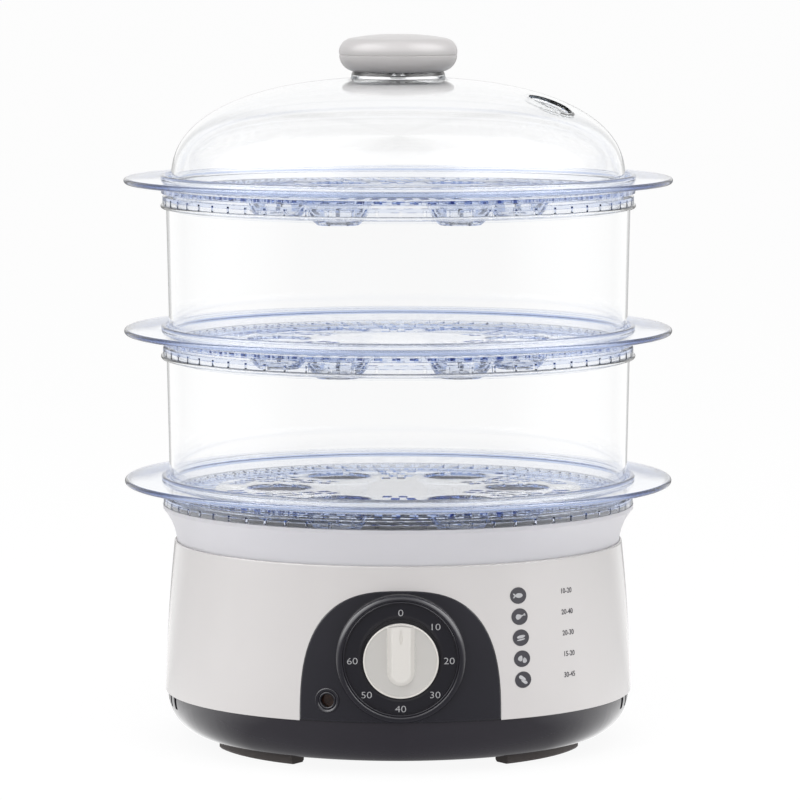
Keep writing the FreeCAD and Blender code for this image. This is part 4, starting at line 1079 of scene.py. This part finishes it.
def rampOf(tree, angle, stops, reach, ceiling):
    # Brightness by an angle, with straight runs between the stops.
    ramp = addNode(tree, "ShaderNodeValToRGB", [reckon(tree, "DIVIDE", angle, math.radians(reach))])
    points = ramp.color_ramp.elements
    while len(points) < len(stops):
        points.new(1.0)
    for point, (degrees, value) in zip(points, stops):
        point.position = degrees / reach
        share = value / ceiling
        point.color = (share, share, share, 1)
    return reckon(tree, "MULTIPLY", ramp.outputs["Color"], ceiling)


def buildSurround():
    tree, given, made = newGroup("surround", (("Vector", "NodeSocketVector", (0, 1, 0)),),
                                 (("Strength", "NodeSocketFloat"),))
    parts = addNode(tree, "ShaderNodeSeparateXYZ", [given["Vector"]]).outputs
    level = addNode(tree, "ShaderNodeCombineXYZ", {"X": parts["X"], "Y": parts["Y"]})
    reach = addNode(tree, "ShaderNodeVectorMath", [level.outputs[0]], operation="LENGTH")
    turn = reckon(tree, "ARCTAN2", reckon(tree, "ABSOLUTE", parts["X"]), parts["Y"])
    lift = reckon(tree, "ARCTAN2", parts["Z"], reach.outputs["Value"])
    ceiling = surround["ceiling"]
    boxed = rampOf(tree, turn, surround["boxes"], 180.0, 1.0)
    around = rampOf(tree, turn, surround["turns"], 180.0, ceiling)
    above = rampOf(tree, lift, surround["lifts"], 90.0, ceiling)
    behind = rampOf(tree, turn, surround["rear"], 180.0, 1.0)
    raised = reckon(tree, "GREATER_THAN", lift, surround["rearFrom"])
    total = reckon(tree, "MULTIPLY_ADD", above, boxed, around)
    tree.links.new(reckon(tree, "MULTIPLY_ADD", behind, raised, total), made["Strength"])
    return tree


surroundGroup = buildSurround()
studioLevels = {"sky": 0.5, "paint": 0.12, "glow": 0.92}


def studioGlow(tree, direction):
    # The studio's brightness in a direction, and what kind of ray asks for it.
    place = addNode(tree, "ShaderNodeTexCoord").outputs[direction]
    studio = addNode(tree, "ShaderNodeGroup", [place], node_tree=surroundGroup)
    return studio.outputs["Strength"], addNode(tree, "ShaderNodeLightPath").outputs


def buildWorld():
    # White where it is seen directly or through clear plastic, shaped where gloss mirrors it.
    world = bpy.data.worlds.new("studio")
    world.use_nodes = True
    bpy.context.scene.world = world
    tree = world.node_tree
    background = tree.nodes["Background"]
    background.inputs["Color"].default_value = (1, 1, 1, 1)
    strength, ray = studioGlow(tree, "Generated")
    lit = mixOf(tree, ray["Is Glossy Ray"], studioLevels["sky"], strength)
    direct = reckon(tree, "MAXIMUM", ray["Is Camera Ray"], ray["Is Transmission Ray"])
    tree.links.new(mixOf(tree, direct, lit, 1.0), background.inputs["Strength"])


def buildFloor():
    # A white sweep that glows, with just enough plain paint to carry the object's shadow.
    shape = bmesh.new()
    bmesh.ops.create_grid(shape, x_segments=1, y_segments=1, size=30.0)
    bmesh.ops.translate(shape, verts=shape.verts, vec=(0, 0, -0.0002))
    floor = newObject("floor", meshFrom("floor", shape))
    material, tree, shader, _ = startMaterial("floorPaint")
    paint, glow = studioLevels["paint"], studioLevels["glow"]
    for label, value in (("Base Color", (paint, paint, paint, 1)), ("Roughness", 0.9),
                         ("Specular IOR Level", 0.0), ("Emission Color", (1, 1, 1, 1))):
        shader.inputs[label].default_value = value
    strength, ray = studioGlow(tree, "Object")
    bounced = reckon(tree, "SUBTRACT", ray["Is Glossy Ray"], ray["Is Transmission Ray"],
                     use_clamp=True)
    seen = mixOf(tree, bounced, glow, reckon(tree, "MULTIPLY", strength, glow))
    tree.links.new(seen, shader.inputs["Emission Strength"])
    floor.data.materials.append(material)


buildWorld()
buildFloor()
scene = bpy.context.scene
scene.view_settings.view_transform = "Standard"
clearBounces = 32
scene.cycles.max_bounces = clearBounces
scene.cycles.transmission_bounces = clearBounces
scene.cycles.glossy_bounces = clearBounces
print("steamer: studio set")
